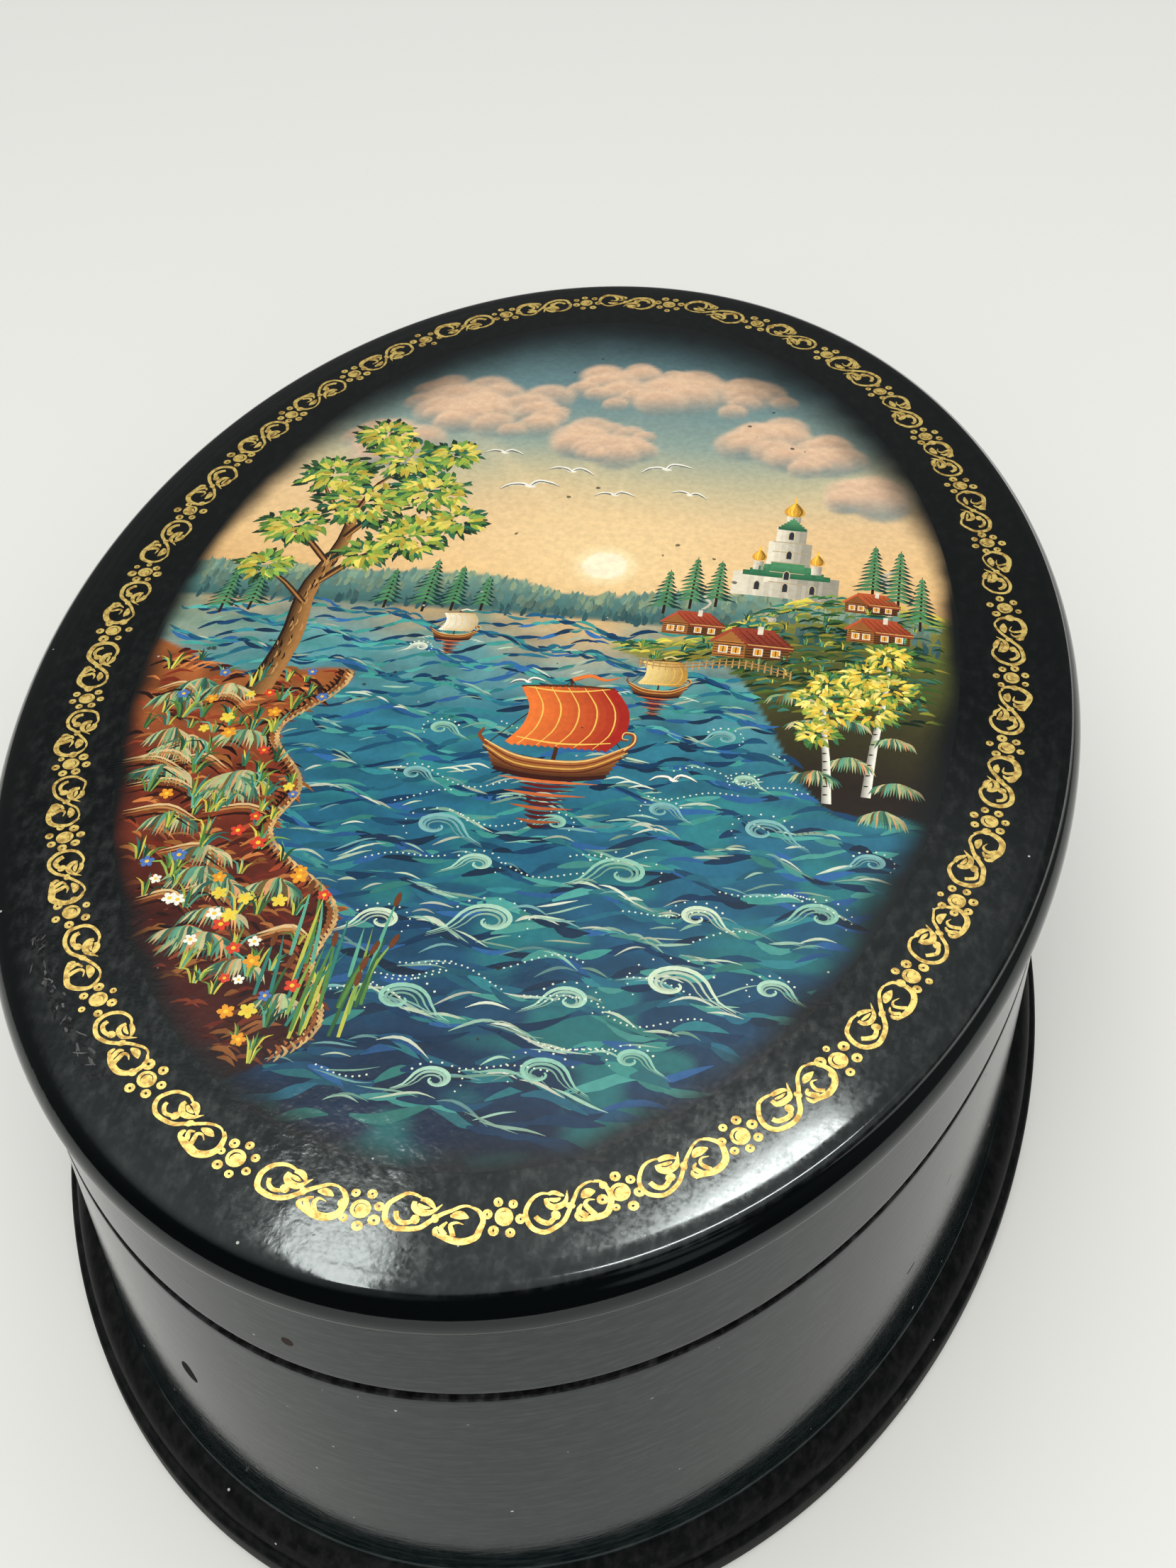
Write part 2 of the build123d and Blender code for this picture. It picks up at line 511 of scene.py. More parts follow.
crease_rings = [
    tuple(band_end * (1 - t) ** 2 + crease * 2 * t * (1 - t) + crown_start * t * t)
    for t in np.linspace(0.14, 0.86, 6)
]
lid_plate = oval_piece(
    "lid_plate_lacquered", under_rings + rings_at(lid_half, edge_profile) + crease_rings + crown_rings
)
finish_faces(
    lid_plate, (lid_black, red_inside),
    lambda x, y, z, up: up < -0.3 and drawn_in(lid_half, x, y) > 2.2 and z < lid_top - 3,
)
crease_off, dome_share = np.array([0.62, -0.30]), 0.8
for vertex in lid_plate.data.vertices:
    x, y, z = vertex.co / MM
    out = sqrt((x / crown_half[0]) ** 2 + (y / crown_half[1]) ** 2)
    if z > band_low and out > dome_share:
        inner = min(1, (out - dome_share) / 0.14)
        outer = min(1, max(0, drawn_in(lid_half, x, y) - 0.9) / 0.7)
        x, y = np.array([x, y]) + crease_off * inner * outer
        vertex.co.x, vertex.co.y = x * MM, y * MM
        if out < 0.985:
            vertex.co.z = crown_height(x, y) * MM
settle(lid_plate, "lid", "painted_lacquer", "lid_plate")

# %% [markdown]
# ## The lid's wall and the base's wall
# Both are slices of one wound tube. The base has a fine rebate under the seam and a small cove over the
# foot, and the lid sits a little askew on it, so the dark line between them is wide at the left and front
# and thin at the right. About the seam the walls get a darker, duller black as painted shade for the gap.

# %% The two walls
wall_thickness, sleeve_gap, mouth_bevel, lip_radius = 3.0, 0.3, 0.6, 0.3
ring_inner = wall_thickness - sleeve_gap
ring_profile = [(ring_inner, plate_under), (ring_inner, seam + mouth_bevel)]
ring_profile += [(ring_inner - mouth_bevel, seam)]
ring_profile += rounded(lip_radius, seam + lip_radius, lip_radius, -90, 0, 8)
ring_profile += [(0, seam + h) for h in (0.8, 2, 4, 6)] + [(0, plate_under), (0, lip_under)]
ring_profile += [(0.3, lip_under), (0.3, plate_under)]
lid_ring = oval_piece("lid_wall_lacquered", rings_at(wall_half, ring_profile), hollow=True)

rebate_low, rebate_depth, cove_height, cove_depth = seam - 0.45, 0.5, 0.6, 0.2
base_profile = [(wall_thickness, foot_top), (wall_thickness, seam), (rebate_depth + 0.15, seam)]
base_profile += [(rebate_depth, seam - 0.12), (rebate_depth, rebate_low), (0.25, rebate_low - 0.02)]
base_profile += rounded(0.2, rebate_low - 0.2, 0.2, 70, 0, 5)
base_profile += [(0, h) for h in np.linspace(rebate_low - 0.6, foot_top + cove_height + 0.6, 6)]
base_profile += [
    (-cove_depth * t**2.5, foot_top + cove_height * (1 - t)) for t in np.linspace(0, 1, 19)
]
base_ring = oval_piece("base_wall_lacquered", rings_at(wall_half, base_profile), hollow=True)

# %% The seam, wider where the lid sits askew
seam_wide_side, askew = radians(-125), 0.36
for piece, low, high in ((lid_ring, seam - 0.1, seam + 0.9), (base_ring, seam - 0.75, seam - 0.4)):
    for vertex in piece.data.vertices:
        x, y, z = vertex.co / MM
        if low < z < high and drawn_in(wall_half, x, y) < 0.45:
            turn = atan2(y / wall_half[1], x / wall_half[0]) - seam_wide_side
            wide = 0.5 + 0.5 * cos(turn)
            if piece == lid_ring:
                vertex.co.z += askew * wide * min(1, (high - z) / 0.5) * MM
            else:
                vertex.co.z += askew * (1 - wide) * MM


def wall_finish(x, y, z, up):
    """Red inside, a darker and duller black about the seam as painted shade for the gap, and black on the
    rest of a wall.
    """
    if drawn_in(wall_half, x, y) > 1.2:
        return 1
    return 2 if rebate_low - 0.1 < z < seam + 0.2 else 0


for piece, body, solid in ((lid_ring, "lid", "lid_wall"), (base_ring, "base", "base_wall")):
    finish_faces(piece, (wall_black, red_inside, seam_shade_black), wall_finish)
    settle(piece, body, "black_lacquer", solid)

# %% [markdown]
# ## The foot
# A board wider than the wall, pressed with a round upper edge that is set in a little over a low rim. The
# varnish pools in the corner above it, which is why the base's wall ends there in a small cove.

# %% The foot
rim_height, rim_radius, top_radius, low_radius, step_depth = 2.7, 0.5, 1.9, 0.8, 0.7
foot_profile = rounded(low_radius, low_radius, low_radius, -90, 0, 9)
foot_profile += rounded(rim_radius, rim_height - rim_radius, rim_radius, 0, 80, 6)
foot_profile += [(step_depth + 0.09, rim_height - 0.02), (step_depth + 0.02, rim_height + 0.08)]
foot_profile += rounded(step_depth + top_radius, foot_top - top_radius, top_radius, 0, 90, 16)
foot_profile += [(inset, foot_top) for inset in (2.8, 3.4, 5.0)]
foot_rings = rings_within(foot_half, (0.01, 0.5, 0.93), lambda t: 0)
foot_rings += rings_at(foot_half, foot_profile)
foot_rings += rings_within(foot_half, (0.5, 0.01), lambda t: foot_top)
foot = oval_piece("foot_lacquered", foot_rings)
foot.data.materials.append(foot_black)
settle(foot, "base", "black_lacquer", "foot_plate")

# %% [markdown]
# ## Inside the box
# A thin sleeve glued inside the base stands up past the seam and centres the lid. It and the floor board
# are red. The floor's solid has the right shape already, so it only gets the material.

# %% The sleeve and the floor
sleeve_thickness, sleeve_bevel, sleeve_round = 1.8, 0.7, 0.5
sleeve_inner, bevel_low = wall_thickness + sleeve_thickness, sleeve_top - sleeve_bevel
sleeve_profile = [(wall_thickness, floor_top), (wall_thickness, seam), (wall_thickness, bevel_low - 0.1)]
sleeve_profile += [(wall_thickness + 0.05, bevel_low + 0.1)]
sleeve_profile += [(wall_thickness + sleeve_bevel - 0.1, sleeve_top)]
sleeve_profile += rounded(sleeve_inner - sleeve_round, sleeve_top - sleeve_round, sleeve_round, 90, 180, 8)
sleeve_profile += [(sleeve_inner, h) for h in np.linspace(sleeve_top - 2, floor_top, 6)]
sleeve = oval_piece("inner_sleeve_lacquered", rings_at(wall_half, sleeve_profile), hollow=True)
sleeve.data.materials.append(red_inside)
settle(sleeve, "base", "red_lacquer", "inner_sleeve")
floor_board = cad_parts["base_floor"]
floor_board.data.materials.clear()
floor_board.data.materials.append(red_inside)
print("floor board keeps its solid, with", len(floor_board.data.polygons), "faces")

# %% [markdown]
# ## A brush for paint and gold
# The ornament and the picture are laid on with a fine brush, so they are built stroke by stroke. A stroke
# is a ribbon that swells and ends in a point. It is a closed body a few hundredths of a millimetre thick
# that follows the dome, as dried paint does. Thousands of strokes need mesh code; operators would be far
# too slow. Every stroke goes into the layer that was started last.

# %% Helper: strokes, dots and patches of paint
paint = {}
paint_high, paint_low, level_step, stroke_step = 0.010, 0.03, 0.0045, 0.00012


def new_layer(seed=0):
    """Starts an empty layer, and gives the painter's hand for it."""
    paint.update(corners=[], faces=[], tints=[], count=0, strokes=0)
    return np.random.default_rng(seed)


def hue(colour):
    """The light that a colour sends back. A colour may be a code from a painter's list."""
    if not isinstance(colour, str):
        return np.asarray(colour, float)
    parts = np.array([int(colour[k:k + 2], 16) for k in (0, 2, 4)]) / 255
    return np.where(parts < 0.04045, parts / 12.92, ((parts + 0.055) / 1.055) ** 2.4)


def hues(codes):
    """The colours of a palette."""
    return [hue(code) for code in codes.split()]


def picked(palette):
    """A colour of a palette, as the hand takes it."""
    return palette[hand.integers(len(palette))]


def smooth_line(points, steps):
    """Points along a soft line through the given ones, as the wrist moves."""
    points = np.asarray(points, float)
    ends = np.vstack([2 * points[0] - points[1], points, 2 * points[-1] - points[-2]])
    at = np.linspace(0, len(points) - 1, steps)
    low = np.minimum(at.astype(int), len(points) - 2)
    t = (at - low)[:, None]
    a, b, c, d = (ends[low + k] for k in range(4))
    return 0.5 * (2 * b + (c - a) * t + (2 * a - 5 * b + 4 * c - d) * t**2 + (3 * b - a - 3 * c + d) * t**3)


def lay(outline, faces, tint, level):
    """Adds a closed body: its outline a hair above its neighbours, and the same points sunk below."""
    heights = crown_height(outline[:, 0], outline[:, 1])
    lift = paint_high + level_step * level + stroke_step * (paint["strokes"] % 23)
    start = paint["count"]
    for height in (heights + lift, heights - paint_low):
        paint["corners"].append(np.column_stack([outline, height]))
        paint["tints"].append(np.tile(hue(tint), (len(outline), 1)))
    paint["faces"].extend([[start + k for k in face] for face in faces])
    paint["count"] += 2 * len(outline)
    paint["strokes"] += 1


def stroke(points, width, tint, level=0, steps=7, start=0.35, end=0.1, swell=0.45):
    """A brush stroke through some points. Start and end are the shares of its width that its ends keep."""
    line = smooth_line(points, steps)
    along = np.gradient(line, axis=0)
    along /= np.maximum(np.hypot(*along.T), 1e-9)[:, None]
    beside = np.column_stack([-along[:, 1], along[:, 0]])
    t = np.linspace(0, 1, steps)
    body = np.where(t < swell, start + (1 - start) * np.sin(pi / 2 * t / swell),
                    end + (1 - end) * np.cos(pi / 2 * (t - swell) / (1 - swell)))
    half = (body * width / 2)[:, None]
    n, m = steps, 2 * steps
    faces = [(0, n, n + m, m), (m - 1, n - 1, m + n - 1, 2 * m - 1)]
    for k in range(n - 1):
        left, right = k, n + k
        faces.append((left, right, right + 1, left + 1)[::-1])
        faces.append((left + m, right + m, right + m + 1, left + m + 1))
        faces.append((left, left + 1, left + 1 + m, left + m)[::-1])
        faces.append((right, right + 1, right + 1 + m, right + m))
    lay(np.vstack([line + beside * half, line - beside * half]), faces, tint, level)


def slab_faces(n):
    """The faces of a thin slab, whose upper corners come first and whose lower ones follow."""
    faces = [tuple(range(n)), tuple(range(2 * n - 1, n - 1, -1))]
    return faces + [(k, n + k, n + (k + 1) % n, (k + 1) % n) for k in range(n)]


def patch(outline, tint, level=0):
    """A flat patch of paint inside an outline given anticlockwise."""
    lay(np.asarray(outline, float), slab_faces(len(outline)), tint, level)


def turned(points, turn, x, y):
    """Points turned about their own origin and moved to a place."""
    a, b = np.asarray(points, float).T
    return np.column_stack([x + a * cos(turn) - b * sin(turn), y + a * sin(turn) + b * cos(turn)])


def dot(x, y, radius, tint, level=0, stretch=1.0, turn=0.0, corners=9):
    """A round or oval touch of the brush's tip."""
    turns = np.linspace(0, 2 * pi, corners, endpoint=False)
    touch = np.column_stack([radius * stretch * np.cos(turns), radius * np.sin(turns)])
    patch(turned(touch, turn, x, y), tint, level)


def tinted(mesh, colours):
    """Gives every corner of a mesh its colour, in an attribute named tint."""
    colours = np.column_stack([colours, np.ones(len(colours))])
    attribute = mesh.attributes.new("tint", "FLOAT_COLOR", "POINT")
    attribute.data.foreach_set("color", colours.astype(np.float32).ravel())


def piece_from(name, corners, faces, material):
    """A piece from its corners in millimetres, its faces and its material."""
    mesh = bpy.data.meshes.new(name)
    mesh.from_pydata((np.asarray(corners) * MM).tolist(), [], faces)
    mesh.materials.append(material)
    piece = bpy.data.objects.new(name, mesh)
    bpy.context.scene.collection.objects.link(piece)
    return piece


def dried(name, material):
    """Turns the layer into one piece of the lid."""
    piece = piece_from(name, np.vstack(paint["corners"]), paint["faces"], material)
    tinted(piece.data, np.vstack(paint["tints"]))
    bpy.ops.object.select_all(action="DESELECT")
    bpy.context.view_layer.objects.active = piece
    piece.select_set(True)
    bpy.ops.object.shade_smooth_by_angle(angle=radians(30))
    settle(piece, "lid", "painted_lacquer")
    print(name, "holds", paint["strokes"], "strokes")


# %% [markdown]
# ## Gold
# The border is shell gold: metal powder in gum, laid on with a brush and varnished. It is metal, but grainy
# and a little dull, and where the brush ran dry it is thinner and browner.

# %% Gold finish
gold, gold_tree, gold_surface = material_of("shell_gold", (0.9, 0.62, 0.2), 0.36)
gold_place = millimetres(gold_tree)
thin = eased(noise(gold_place, 1.9, 4.0, 0.65), 0.42, 0.66)
grain = noise(gold_place, 14.0)
gold_colour = blended(thin, (1.0, 0.76, 0.23), (0.50, 0.29, 0.07))
gold_surface.inputs["Metallic"].default_value = 0.72
gold_tree.links.new(gold_colour, gold_surface.inputs["Base Color"])
gold_tree.links.new(eased(grain, 0.3, 0.7, 0.30, 0.5), gold_surface.inputs["Roughness"])
varnished(gold_tree, gold_surface, lid_wave, lid_peel, 0.0, 0.3, relief=times(grain, 0.006))
print("gold with", len(gold_tree.nodes), "nodes")

# %% [markdown]
# ## The gold border
# One repeat is a rosette of ringed dots and an S scroll of two C curls that turn opposite ways. The first
# curl ends in a full leaf and holds a comma, the second one ends in a thick leaf with three hooked tips. The
# repeat is designed once on a straight strip, where s runs along the border and n runs inwards, and is then
# bent round the oval. The hand is kept in it: each repeat is a little longer or shorter, turned, and shaky.

# %% One scroll, on the straight strip about its own middle
half_repeat = 4.585
# Its strokes: points, width, steps, the shares of the width at both ends, and where it is widest
scroll_strokes = (
    ([(-1.19, 1.32), (-1.65, 1.46), (-2.22, 1.38), (-2.78, 1.00), (-3.16, 0.43), (-3.20, -0.24),
      (-2.90, -0.86), (-2.27, -1.20), (-1.51, -1.20), (-0.72, -0.86), (-0.12, -0.24), (0.52, 0.40),
      (1.06, 0.84), (1.60, 1.12), (2.15, 1.22), (2.55, 1.04)], 0.37, 44, 0.45, 0.35, 0.42),
    ([(2.46, 1.12), (2.88, 0.82), (3.16, 0.24), (3.13, -0.44), (2.83, -0.98), (2.27, -1.34),
      (1.53, -1.36), (0.82, -1.20), (0.24, -1.12)], 0.50, 26, 0.40, 0.30, 0.74),
    ([(1.52, -1.16), (1.28, -0.66), (1.22, -0.26), (1.50, -0.04), (1.96, -0.17)], 0.33, 13, 1.0, 0.15, 0.1),
    ([(0.98, -1.08), (0.66, -0.66), (0.64, -0.36), (0.94, -0.14)], 0.36, 9, 0.9, 0.35, 0.2),
    ([(0.46, -1.12), (0.28, -0.84), (0.38, -0.54)], 0.34, 7, 0.9, 0.35, 0.2),
    ([(-1.51, 0.98), (-1.45, 0.56), (-1.02, 0.24), (-0.44, 0.29), (-0.06, 0.62), (0.34, 1.18)],
     0.48, 16, 0.6, 0.1, 0.4),
    ([(-1.22, 1.26), (-0.76, 1.24), (-0.32, 1.02), (-0.04, 0.74)], 0.42, 9, 0.7, 0.25, 0.4),
    ([(-1.28, 0.86), (-0.86, 0.74), (-0.40, 0.70)], 0.30, 6, 0.5, 0.3, 0.5),
    ([(-2.56, -0.06), (-2.36, -0.44), (-1.88, -0.70), (-1.42, -0.58), (-1.18, -0.34)],
     0.36, 13, 0.9, 0.8, 0.4),
    ([(1.02, 0.34), (1.62, 0.50), (2.26, 0.40)], 0.60, 11, 0.25, 0.15, 0.5),
)
scroll_dots = ((-1.14, -0.30, 0.31, 1.15), (0.10, 0.02, 0.25, 1.3))
print("a scroll has", len(scroll_strokes), "strokes and", len(scroll_dots), "dots")

# %% Bending the strip round the oval
border_inset, border_middle, repeats = 6.1, np.array([0.1, 0.7]), 34
border_half = (lid_half[0] - border_inset, lid_half[1] - border_inset)
turns = np.linspace(0, 2 * pi, 2881)
oval_line = np.column_stack([border_half[0] * np.cos(turns), border_half[1] * np.sin(turns)])
run = np.concatenate([[0], np.cumsum(np.hypot(*np.diff(oval_line, axis=0).T))])
hand = new_layer(7)
lengths = 1 + 0.075 * hand.standard_normal(repeats)
starts = np.concatenate([[0], np.cumsum(lengths)]) * run[-1] / lengths.sum()
print("border", round(run[-1], 1), "mm round,", repeats, "repeats of", round(run[-1] / repeats, 2), "mm")


def on_border(strip_points, start, stretch):
    """Takes points of the straight strip to the oval."""
    strip_points = np.asarray(strip_points, float)
    s = (start + strip_points[:, 0] * stretch) % run[-1]
    turn = np.interp(s, run, turns)
    inward = -np.column_stack([np.cos(turn) / border_half[0], np.sin(turn) / border_half[1]])
    inward /= np.hypot(*inward.T)[:, None]
    base = np.column_stack([border_half[0] * np.cos(turn), border_half[1] * np.sin(turn)])
    return border_middle + base + inward * strip_points[:, 1:2]


# %% The border, repeat by repeat
gold_tint = (1.0, 0.74, 0.22)


def gold_ring(s, n, radius, width, start, stretch, steps=11):
    """A ringed dot: a short stroke that goes round and meets itself, with a dark pinhole left in it."""
    turns_round = hand.uniform(0, 2 * pi) + np.linspace(0, 2 * pi * 1.02, 9)
    points = np.column_stack([s + radius * np.cos(turns_round), n + radius * np.sin(turns_round)])
    stroke(on_border(points, start, stretch), width, gold_tint, 0, steps, 0.8, 0.8)


for start, length in zip(starts, lengths):
    stretch = length * run[-1] / lengths.sum() / (2 * half_repeat)
    gold_ring(0, 0, 0.57, 0.27, start, stretch, 19)
    middle = on_border([(0.06, -0.05)], start, stretch)[0]
    dot(*middle, 0.41, gold_tint, 1, 1.1, hand.uniform(0, 3), 13)
    petals = 7 if hand.random() < 0.55 else 6
    lean = hand.uniform(-0.3, 0.3)
    for k in range(petals):
        angle = lean + 2 * pi * (k + 0.5) / petals
        reach = 1.25 + 0.06 * hand.standard_normal()
        size = 1 + 0.11 * hand.standard_normal()
        gold_ring(reach * cos(angle), reach * sin(angle), 0.225 * size, 0.28 * size, start, stretch)
    tilt = radians(4) * hand.standard_normal()
    grow = 0.97 + 0.03 * hand.standard_normal()
    about = half_repeat + 0.30 + 0.14 * hand.standard_normal()
    bow = np.array([[cos(tilt), sin(tilt)], [-sin(tilt), cos(tilt)]]) * grow
    for points, width, *shape in scroll_strokes:
        points = (np.array(points) + 0.035 * hand.standard_normal((len(points), 2))) @ bow + (about, 0)
        width = width * (1 + 0.10 * hand.standard_normal())
        stroke(on_border(points, start, stretch), width, gold_tint, 1, *shape)
    for s, n, size, long in scroll_dots:
        spot = on_border(np.array([(s, n)]) @ bow + (about, 0), start, stretch)[0]
        dot(*spot, size, gold_tint, 2, long, hand.uniform(0, 3))
dried("gold_border", gold)

# %% [markdown]
# ## The picture's ground
# The picture is tempera under varnish: a river at sunrise with a village, boats and trees. First come the
# washes, which are soft and have no edge: sky, clouds, glow, water. A fine patch follows the dome and holds
# the washes as a colour attribute, mixed in code like paint, so they can be changed a wash at a time.

# %% The patch that holds the washes
picture_inset, ground_margin, ground_lift = 10.4, 1.004, 0.008
picture_half = (lid_half[0] - picture_inset, lid_half[1] - picture_inset)


def soft_step(value, low, high):
    """Goes smoothly from 0 to 1 while a value goes from low to high."""
    t = np.clip((value - low) / (high - low), 0, 1)
    return t * t * (3 - 2 * t)


def soft_noise(x, y, cell, seed):
    """Smooth irregular values between 0 and 1, told by the size of a blotch in millimetres."""
    lattice = np.random.default_rng(seed).random((96, 96))
    u, v = np.asarray(x) / cell + 48.5, np.asarray(y) / cell + 48.5
    i, j = np.floor(u).astype(int) % 95, np.floor(v).astype(int) % 95
    a, b = soft_step(u - np.floor(u), 0, 1), soft_step(v - np.floor(v), 0, 1)
    near = lattice[i, j] * (1 - a) + lattice[i + 1, j] * a
    far = lattice[i, j + 1] * (1 - a) + lattice[i + 1, j + 1] * a
    return near * (1 - b) + far * b


def edge_fade(x, y):
    """How much of the picture shows: all inside, none at its edge, and softest at the top."""
    x, y = np.asarray(x), np.asarray(y)
    out = np.hypot(x / picture_half[0], y / picture_half[1])
    ragged = 0.012 * (soft_noise(x, y, 1.7, 3) - 0.5) + 0.02 * (soft_noise(x, y, 6, 4) - 0.5)
    softness = 0.05 + 0.17 * soft_step(y, 8, 46) + 0.05 * soft_step(x, 18, 32) * soft_step(-y, -12, 24)
    return 1 - soft_step(out + ragged, 1.0 - softness, 1.005)


bpy.ops.object.select_all(action="DESELECT")
bpy.ops.mesh.primitive_grid_add(x_subdivisions=190, y_subdivisions=290, size=2)
ground = bpy.context.object
ground.name = ground.data.name = "picture_ground"
flat = np.array([v.co[:2] for v in ground.data.vertices])
ground_x = picture_half[0] * ground_margin * flat[:, 0] * np.sqrt(1 - flat[:, 1] ** 2 / 2)
ground_y = picture_half[1] * ground_margin * flat[:, 1] * np.sqrt(1 - flat[:, 0] ** 2 / 2)
domed = np.column_stack([ground_x, ground_y, crown_height(ground_x, ground_y) + ground_lift])
ground.data.vertices.foreach_set("co", (domed * MM).astype(np.float32).ravel())
bpy.ops.object.mode_set(mode="EDIT")
bpy.ops.mesh.select_all(action="DESELECT")
bpy.ops.mesh.select_non_manifold()
bpy.ops.mesh.extrude_edges_move(TRANSFORM_OT_translate={"value": (0, 0, -paint_low * MM)})
bpy.ops.mesh.edge_face_add()
outward_faces(30)
ground_x, ground_y = (np.array([v.co[:2] for v in ground.data.vertices]) / MM).T
washes = np.zeros((len(ground_x), 3))
print("ground with", len(ground.data.polygons), "faces")

# %% Washes: sky, glow, clouds and water


def wash(colour, share):
    """Lays a colour over the ground by a share at each point."""
    washes[:] = washes * (1 - share[:, None]) + hue(colour) * share[:, None]


def gradient(value, stops):
    """A colour at each point from a list of values and colours."""
    at, colours = [stop[0] for stop in stops], np.array([hue(stop[1]) for stop in stops])
    return np.column_stack([np.interp(value, at, colours[:, k]) for k in range(3)])


sky_stops = (
    (2, "dcae74"), (9, "ecc48a"), (17, "e6c493"), (24, "c3bb98"), (31, "8fa49a"), (40, "6a898c"),
    (54, "3e5a62"),
)
bend = 3.0 * (soft_noise(ground_x, ground_y, 9, 11) - 0.5)
washes[:] = gradient(ground_y + bend - 0.004 * ground_x**2, sky_stops)
glow_x, glow_y = 3.0, 12.0
glow = np.exp(-((ground_x - glow_x) / 14) ** 2 - ((ground_y - glow_y) / 10) ** 2)
wash("f7d9a2", 0.75 * glow)
ray_turn = np.arctan2(ground_y - glow_y, ground_x - glow_x)
rays = soft_step(soft_noise(ray_turn * 9, ray_turn * 0, 1, 17), 0.5, 0.9) * soft_step(ground_y, 14, 19)
wash("f3dcae", 0.30 * rays * (1 - soft_step(ground_y, 26, 38)))

puffs = np.random.default_rng(21)
# Banks of cloud: their middle, their half width and half height, and how many puffs they have
cloud_banks = (
    (-13, 36, 9, 4.8, 34), (7, 41, 11, 4.6, 38), (18, 32, 6.5, 3.6, 26), (0, 30.5, 5, 2.6, 18),
    (-21, 28, 5, 2.8, 14), (26, 25, 4, 2, 9),
)
puff_places = []
for bank_x, bank_y, across, high, count in cloud_banks:
    for k in range(count):
        turn, out = puffs.uniform(0, 2 * pi), sqrt(puffs.random())
        size = puffs.uniform(1.5, 3.5) * (1.2 - 0.45 * out)
        puff_places.append((bank_x + across * out * cos(turn), bank_y + high * out * sin(turn), size))
puff_places.sort(key=lambda puff: -puff[1])
for x, y, size in puff_places:
    near = np.hypot(ground_x - x, ground_y - y) / size
    body = 1 - soft_step(near, 0.72, 1.06)
    lit = soft_step((ground_y - y) / size - 0.25 * (ground_x - x) / size, -0.9, 0.8)
    wash(hue("7f8f8b") * (1 - lit[:, None]) + hue("e3bb9a") * lit[:, None], 0.72 * body)
    wash("f3d8b6", 0.45 * body * soft_step(near, 0.55, 0.95) * lit)

shore = 3.2 + 1.6 * (soft_noise(ground_x, ground_x * 0, 7, 5) - 0.5)
water = 1 - soft_step(ground_y, shore - 0.5, shore + 0.3)
water_stops = (
    (-54, "0b1d33"), (-46, "12304c"), (-36, "1b4a68"), (-24, "22617c"), (-12, "2f7487"), (-4, "5c9295"),
    (3, "b59d74"),
)
deep = gradient(ground_y + 5 * (soft_noise(ground_x, ground_y, 5, 31) - 0.5), water_stops)
deep = deep * (0.72 + 0.56 * soft_noise(ground_x, ground_y * 2.4, 3.2, 32))[:, None]
wash(deep, water)
wash("2f8f86", 0.45 * water * soft_step(soft_noise(ground_x, ground_y * 1.8, 4.5, 33), 0.55, 0.85))
wash("e8bf86", 0.55 * water * np.exp(-((ground_x - glow_x) / 5) ** 2) * soft_step(ground_y, -12, 3))
sun_x, sun_y = 3.0, 10.4
sun = np.hypot(ground_x - sun_x, ground_y - sun_y)
wash("fbe3b0", 0.8 * (1 - soft_step(sun, 2.5, 3.3)))
wash("fff3d2", 1 - soft_step(sun, 1.9, 2.15))
print("washes laid:", len(puff_places), "puffs of cloud")

# %% Washes: the far forest, the village hill and the near bank


def far_top(x):
    """Height of the far forest's tops."""
    grove = 1.5 * soft_noise(x, x * 0, 5, 51) + 0.9 * soft_noise(x, x * 0, 1.1, 52)
    return 6.4 + grove - 2.2 * np.exp(-((x - 2) / 5.5) ** 2)


def hill_top(x):
    """Height of the village hill, which rises to the right."""
    return -1.0 + 9.5 * soft_step(x, 4, 24) + 0.7 * np.sin(x / 3.1)


def bank_share(x, y):
    """1 on the near bank and 0 on the water: the bank lies at the left and reaches out below."""
    edge = -13.5 + 4.2 * np.sin((y + 50) / 6.2) + 1.3 * np.sin(y / 1.9) - 5.5 * soft_step(y, -22, -8)
    top = -5.5 + 1.3 * np.sin(x / 3.3) - 0.16 * (x + 30)
    return soft_step(edge - x, -0.15, 0.3) * soft_step(top - y, -0.15, 0.3)


def hill_share(x, y):
    """1 on the village hill and 0 beside it."""
    foot_line = -1.6 - 17.0 * soft_step(x, 13, 27) + 0.8 * np.sin(x / 2.1)
    above_foot = soft_step(y, foot_line - 0.2, foot_line + 0.2)
    return soft_step(hill_top(x) - y, -0.1, 0.3) * above_foot * soft_step(x, 3.5, 6.5)


forest = soft_step(far_top(ground_x) - ground_y, -0.15, 0.25) * soft_step(ground_y, 2.2, 2.8)
wash(gradient(ground_y, ((2, "39605f"), (5, "557f7a"), (9, "8ba58c"))), forest)
hill = hill_share(ground_x, ground_y)
hill_stops = ((-24, "241a12"), (-16, "3c3a20"), (-6, "5b6330"), (-1.5, "8e8a43"), (0, "c9b564"))
wash(gradient(ground_y - hill_top(ground_x), hill_stops), hill)
bank = bank_share(ground_x, ground_y)
earth_stops = ((-50, "170808"), (-34, "4a1a12"), (-16, "7c3420"), (-4, "9c5a2c"))
earth = gradient(ground_y + 6 * soft_noise(ground_x, ground_y, 4, 63), earth_stops)
wash(earth * (0.6 + 0.8 * soft_noise(ground_x, ground_y, 1.8, 64))[:, None], bank)
print("land over", round(float(np.mean(np.maximum(bank, hill))), 2), "of the ground")

# %% [markdown]
# ## Tempera
# All painted strokes share one finish: their own colour from the attribute, broken a little by the grain of
# the brush, darkened by old specks, and under the same varnish as the black around it.

